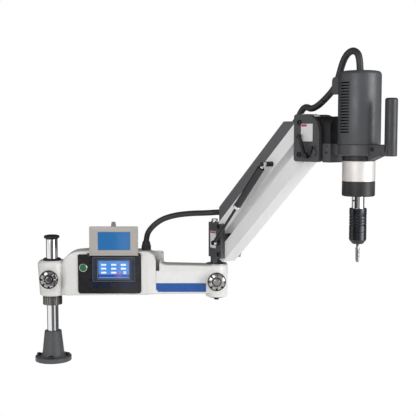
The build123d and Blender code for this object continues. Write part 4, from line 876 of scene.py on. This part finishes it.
def makeTap():
    t = tapSizes
    shape = bmesh.new()
    length = t["threadTop"] + t["runOut"] - t["low"]
    count = int(length / t["pitch"] * t["stepsPerPitch"])
    levels = [t["low"] + length * k / count for k in range(count + 1)]
    angles = around(t["sides"])
    rings = [[shape.verts.new((tapRadius(a, z) * cos(a), tapRadius(a, z) * sin(a), z)) for a in angles]
             for z in levels]
    for radius, z in ((t["radius"], t["shoulder"]), (t["shank"], t["shoulder"] + t["shoulderHeight"]),
                      (t["shank"], t["top"])):
        rings.append([shape.verts.new((radius * cos(a), radius * sin(a), z)) for a in angles])
    bridge(shape, rings)
    for ring in (rings[0], rings[-1]):
        middle = shape.verts.new((0, 0, ring[0].co.z))
        for k in range(t["sides"]):
            shape.faces.new((ring[k], ring[(k + 1) % t["sides"]], middle))
    finished("tapTool", shape, "tool_steel", "spindle", atSpindle, ["tap"], smoothAngle=50)


# pieces kept in their solid's shape: the width of their worn edges
edgeWork = {
    "rear_cover": 0.4, "rear_cover_screws": 0.2, "cable_gland": 0.5, "mains_gland": 0.4,
    "arm_bushes": 0.3, "post_shaft": 0.6, "retaining_bolt": 0.5, "post_bracket": 1.2, "bracket_nut": 0.6,
    "elbow_pivot_pins": 0.4, "spring_lower_stud": 0.3, "spring_upper_stud": 0.3,
    "upper_link": 0.7, "lower_link": 0.7,
    "upper_link_bushes": 0.2, "lower_link_bushes": 0.2, "cable_duct": 0.9, "carrier_front_plate": 0.9,
    "carrier_rear_plate": 0.9, "head_pivot_pins": 0.4, "swivel_housing": 1.2, "clamp_lever": 0.8,
    "head_bracket": 1.2, "motor_flange": 1.0, "handle_grip": 0.8, "motor_cover": 0.5, "motor_can": 0.8,
    "gearbox_housing": 0.7, "nose_ring": 0.8, "cable_stay": 0.7, "spindle_shaft": 0.5, "chuck_body": 0.25,
    "chuck_sleeve": 0.4,
}


def makeWornPieces():
    for node, width in edgeWork.items():
        first, *others = node.split("_")
        dressed(first + "".join(word.title() for word in others) + "Part", node, width)


# small parts of the head and the post
headBits = {
    "hook": ((54, -58), (57, -64), (49, -81), (40, -86), (37, -80), (44, -75)),
    "hookFace": (-44.0, -39.0),
    "block": ((212.5, -80.6), (276.0, -80.6), (276.0, -56.2), (212.5, -56.2)),
    "blockCorners": (1.5, 0.5, 0.5, 1.5),
    "blockFace": (-16.6, 12.5),
    # screws: x, z and head radius
    "blockScrew": (237.6, -65.4, 5.2),
    "footScrews": ((90.5, -76.0, 3.4), (92.0, -60.0, 2.0)),
    "footFace": -26.0,
    "plateScrew": (-8.2, -38.2, 3.2),
    "plateFace": -36.0,
    "discInner": 15.0, "discRadius": 31.7, "discLow": 296.9, "discHigh": 299.7,
}


def faceScrew(name, at, face, body):
    # socket screw set into a face of the head that looks towards the operator
    x, z, radius = at
    screw = capScrew(radius, radius * 0.35, radius * 0.6, 1.5)
    bmesh.ops.transform(screw, matrix=facing(x, face, z), verts=screw.verts)
    finished(name, screw, "black_screws", body, atHead)


def makeHeadBits():
    h = headBits
    hook = prism(softened(h["hook"], 3), *h["hookFace"])
    finished("clampHook", hook, "cap_black", "clamp_lever", atHead, bevel=0.6)
    gripArm = prism(softened(h["block"], h["blockCorners"], 6), *h["blockFace"])
    finished("gripBlock", gripArm, "graphite_paint", "motor_head", atHead, bevel=0.5)
    faceScrew("gripBlockScrew", h["blockScrew"], h["blockFace"][0], "motor_head")
    for index, at in enumerate(h["footScrews"]):
        faceScrew("bracketScrew" + str(index), at, h["footFace"], "motor_head")
    faceScrew("plateScrew", h["plateScrew"], h["plateFace"], "head_carrier")
    inner, radius, low, high = h["discInner"], h["discRadius"], h["discLow"], h["discHigh"]
    disc = softened([(inner, low), (radius, low), (radius, high - 0.5), (radius - 0.6, high), (inner, high)],
                    [0, 0.3, 0.4, 0.4, 0])
    finished("postDiscRing", lathe(disc, 96), "disc_grey", "elbow", armPlace)


makeStand()
print("stand done")
makeSwingArm()
makePanel()
makeFlap()
print("swing arm done")
makeWornPieces()
makeLabel("postLabel", labels["post"], "elbow", armPlace)
makeLabel("headLabel", labels["head"], "head_carrier", atHead)
makeSpring()
makeTap()
makeHeadBits()
print("upper arm and head done")


# cables
cableLook = {
    "diameter": 0.017,
    "sides": 20,
    "stepsPerPoint": 12,
    "armBend": ((0.36, 0, 0.44), (0.51, 0, 0.455)),      # where the arm cable leaves one body for the next
}


def armPoint(x, z):
    return armPlace @ Vector((x, 0, z))


def headRoute(route):
    # points out and up from the upper head pivot, in the arm's plane
    return [armPoint(headX + x / 1000, headZ + z / 1000) for x, z in route]


cableRoutes = {
    "arm_cable": [Vector(p) / 1000 for p in (
        (286.6, 0, 356.3), (286.6, 0, 382.3), (302, 0, 408), (333, 0, 433), (376, 0, 446), (425, 0, 451),
        (470, 0, 452), (503, -7, 455))] + [armPoint(0.048, 0.4591)],
    "link_cable": headRoute([(-76, -15.7), (-50, 6), (-22, 46), (14, 31), (52, 56.5)]),
    "motor_cable": headRoute([(52, 56.5), (90, 82), (104, 112), (118, 150), (134, 170), (157, 177),
                              (178, 159), (178, 113)]),
}


def routeLine(name, points, steps):
    # points along the smooth spline that has the route as its control points
    curve = bpy.data.curves.new(name + "Line", "CURVE")
    curve.dimensions = "3D"
    spline = curve.splines.new("NURBS")
    spline.points.add(len(points) - 1)
    for place, point in zip(spline.points, points):
        place.co = (*point, 1)
    spline.order_u = 3
    spline.use_endpoint_u = True
    spline.resolution_u = steps
    holder = addObject(name + "Line", curve)
    mesh = bpy.data.meshes.new_from_object(holder)
    line = [vertex.co.copy() for vertex in mesh.vertices]
    bpy.data.objects.remove(holder)
    bpy.data.curves.remove(curve)
    bpy.data.meshes.remove(mesh)
    return line


def tubeMesh(name, line, radius, sides):
    # a closed tube along a line, its rings carried along without twist
    tube = bmesh.new()
    side = (line[1] - line[0]).normalized().orthogonal().normalized()
    rings = []
    for index, point in enumerate(line):
        tangent = (line[min(index + 1, len(line) - 1)] - line[max(index - 1, 0)]).normalized()
        side = (side - tangent * side.dot(tangent)).normalized()
        across = tangent.cross(side)
        rings.append([tube.verts.new(point + radius * (cos(a) * side + sin(a) * across))
                      for a in around(sides)])
    bridge(tube, rings)
    tube.faces.new(reversed(rings[0]))
    tube.faces.new(rings[-1])
    mesh = bpy.data.meshes.new(name)
    tube.to_mesh(mesh)
    tube.free()
    return mesh


def makeCable(name, fromBody, toBody, start, end):
    line = routeLine(name, cableRoutes[name], cableLook["stepsPerPoint"])
    mesh = tubeMesh(name, line, cableLook["diameter"] / 2, cableLook["sides"])
    cable = meshPiece(name + "_sheath", mesh, "cable_black")
    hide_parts(name)
    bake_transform(cable)


makeCable("arm_cable", "swing_arm", "elbow", *cableLook["armBend"])
linkRoute, motorRoute = cableRoutes["link_cable"], cableRoutes["motor_cable"]
makeCable("link_cable", "upper_link", "head_carrier", linkRoute[0], linkRoute[-1])
makeCable("motor_cable", "head_carrier", "motor_head", motorRoute[0], motorRoute[2])


# floor, light and camera
studio = {
    "frontLevel": 0.88,       # light from the operator's side, and from behind and above
    "backLevel": 0.22,
    "topShare": 0.3,
    "floorHalf": 9.0,
    "floorColour": (0.86, 0.86, 0.86),
    # lamps: place, what they point at, width and height, power
    "lamps": {
        "KeyLamp": ((-1.1, -3.2, 1.3), (0.4, 0, 0.4), (2.0, 1.8), 34.0),
        "FillLamp": ((2.5, -1.5, 0.9), (0.6, -0.3, 0.5), (1.2, 1.8), 34.0),
        "RimLamp": ((0.6, 2.2, 2.4), (0.5, 0, 0.5), (2.0, 1.2), 3.0),
    },
    # cards that only reflections see: round bars from and to which angle, and how bright
    "columnCards": {"middle": (0.0, 0.0), "reach": 0.30, "heights": (0.001, 0.42),
                    "cards": ((-106, -52, 0.16), (-29, 64, 0.10), (135, 166, 0.12), (80, 130, 0.2))},
    "spindleCards": {"middle": (0.8451, -0.475), "reach": 0.22, "heights": (0.36, 0.535),
                     "cards": ((-164, -126, 0.035), (-126, -108, 0.13), (-108, -92, 0.4), (-92, -74, 0.2),
                               (-10, 60, 0.26))},
    "backCard": {"x": (-1.4, 2.4), "y": 0.9, "z": (0.1, 1.8), "level": 0.02},
}


def showWhite(graph, kinds, lit, white, output):
    # rays of the named kinds see the white shader, all others the lit one
    path = graph.add("ShaderNodeLightPath")
    share = Signal(graph, path.outputs[kinds[0]])
    for kind in kinds[1:]:
        share = share.either(path.outputs[kind])
    mixer = graph.add("ShaderNodeMixShader", {}, {0: share, 1: lit.outputs[0], 2: white.outputs[0]})
    graph.feed(graph.tree.nodes[output].inputs["Surface"], mixer.outputs[0])


def makeFloor():
    half = studio["floorHalf"]
    corners = [(-half, -half, 0), (half, -half, 0), (half, half, 0), (-half, half, 0)]
    mesh = bpy.data.meshes.new("Floor")
    mesh.from_pydata(corners, [], [(0, 1, 2, 3)])
    floor = addObject("Floor", mesh)
    shader = Shader("PaleFloor", studio["floorColour"], 0.9)
    white = shader.add("ShaderNodeEmission", {}, {"Color": (1, 1, 1)})
    showWhite(shader, ["Is Camera Ray", "Is Glossy Ray", "Is Transmission Ray"], shader.surface, white,
              "Material Output")
    mesh.materials.append(shader.material)


def makeWorld():
    # white to the camera, brighter from the front than from behind and above for everything else
    world = bpy.data.worlds.new("Studio")
    bpy.context.scene.world = world
    world.use_nodes = True
    graph = Graph(world.node_tree)
    soft = world.node_tree.nodes["Background"]
    graph.feed(soft.inputs["Color"], (1, 1, 1))
    direction = graph.add("ShaderNodeTexCoord").outputs["Generated"]
    split = graph.add("ShaderNodeSeparateXYZ", {}, {"Vector": direction})
    front = Signal(graph, split.outputs[1]).clamp(-0.1, 0.7, studio["frontLevel"], studio["backLevel"])
    top = Signal(graph, split.outputs[2]).clamp(0.1, 0.9, 1, studio["topShare"])
    graph.feed(soft.inputs["Strength"], front * top)
    white = graph.add("ShaderNodeBackground", {}, {"Color": (1, 1, 1)})
    showWhite(graph, ["Is Camera Ray", "Is Transmission Ray"], soft, white, "World Output")


def makeLamp(name, place, target, size, power):
    lamp = bpy.data.lights.new(name, "AREA")
    lamp.shape = "RECTANGLE"
    lamp.size, lamp.size_y = size
    lamp.energy = power
    holder = addObject(name, lamp)
    holder.location = place
    holder.rotation_euler = (Vector(target) - Vector(place)).to_track_quat("-Z", "Y").to_euler()


def makeCard(name, edge, heights, level):
    # upright card over a line of floor points, of an even brightness, which only reflections see
    mesh = bpy.data.meshes.new(name)
    corners = [(*point, z) for z in heights for point in edge]
    count = len(edge)
    mesh.from_pydata(corners, [], [(k, k + 1, count + k + 1, count + k) for k in range(count - 1)])
    card = addObject(name, mesh)
    glow = Shader(name, (0, 0, 0), 0.5, Specular_IOR_Level=0, Emission_Color=(1, 1, 1, 1),
                  Emission_Strength=level)
    mesh.materials.append(glow.material)
    card.visible_camera = False
    card.visible_diffuse = False
    card.visible_shadow = False


def makeBandCards(name, group):
    # curved cards round a bright bar, for the bands in its reflection
    midX, midY = group["middle"]
    steps = 6
    for index, (start, end, level) in enumerate(group["cards"]):
        turns = [radians(start + (end - start) * k / steps) for k in range(steps + 1)]
        edge = [(midX + group["reach"] * cos(t), midY + group["reach"] * sin(t)) for t in turns]
        makeCard(name + str(index), edge, group["heights"], level)


makeFloor()
makeWorld()
for lampName, lampSet in studio["lamps"].items():
    makeLamp(lampName, *lampSet)
back = studio["backCard"]
makeCard("BackCard", [(x, back["y"]) for x in back["x"]], back["z"], back["level"])
makeBandCards("ColumnCard", studio["columnCards"])
makeBandCards("SpindleCard", studio["spindleCards"])

cameraSet = {
    "place": (0.474, -2.611, 0.6964),
    "tiltDown": radians(5.02),
    "lens": 75.03,
    "sensor": 36.0,
}
camera = bpy.data.cameras.new("Camera")
camera.lens = cameraSet["lens"]
camera.sensor_width = cameraSet["sensor"]
cameraHolder = addObject("Camera", camera)
cameraHolder.location = cameraSet["place"]
cameraHolder.rotation_euler = (pi / 2 - cameraSet["tiltDown"], 0, 0)
bpy.context.scene.camera = cameraHolder
bpy.context.scene.view_settings.view_transform = "Standard"
print("studio ready")
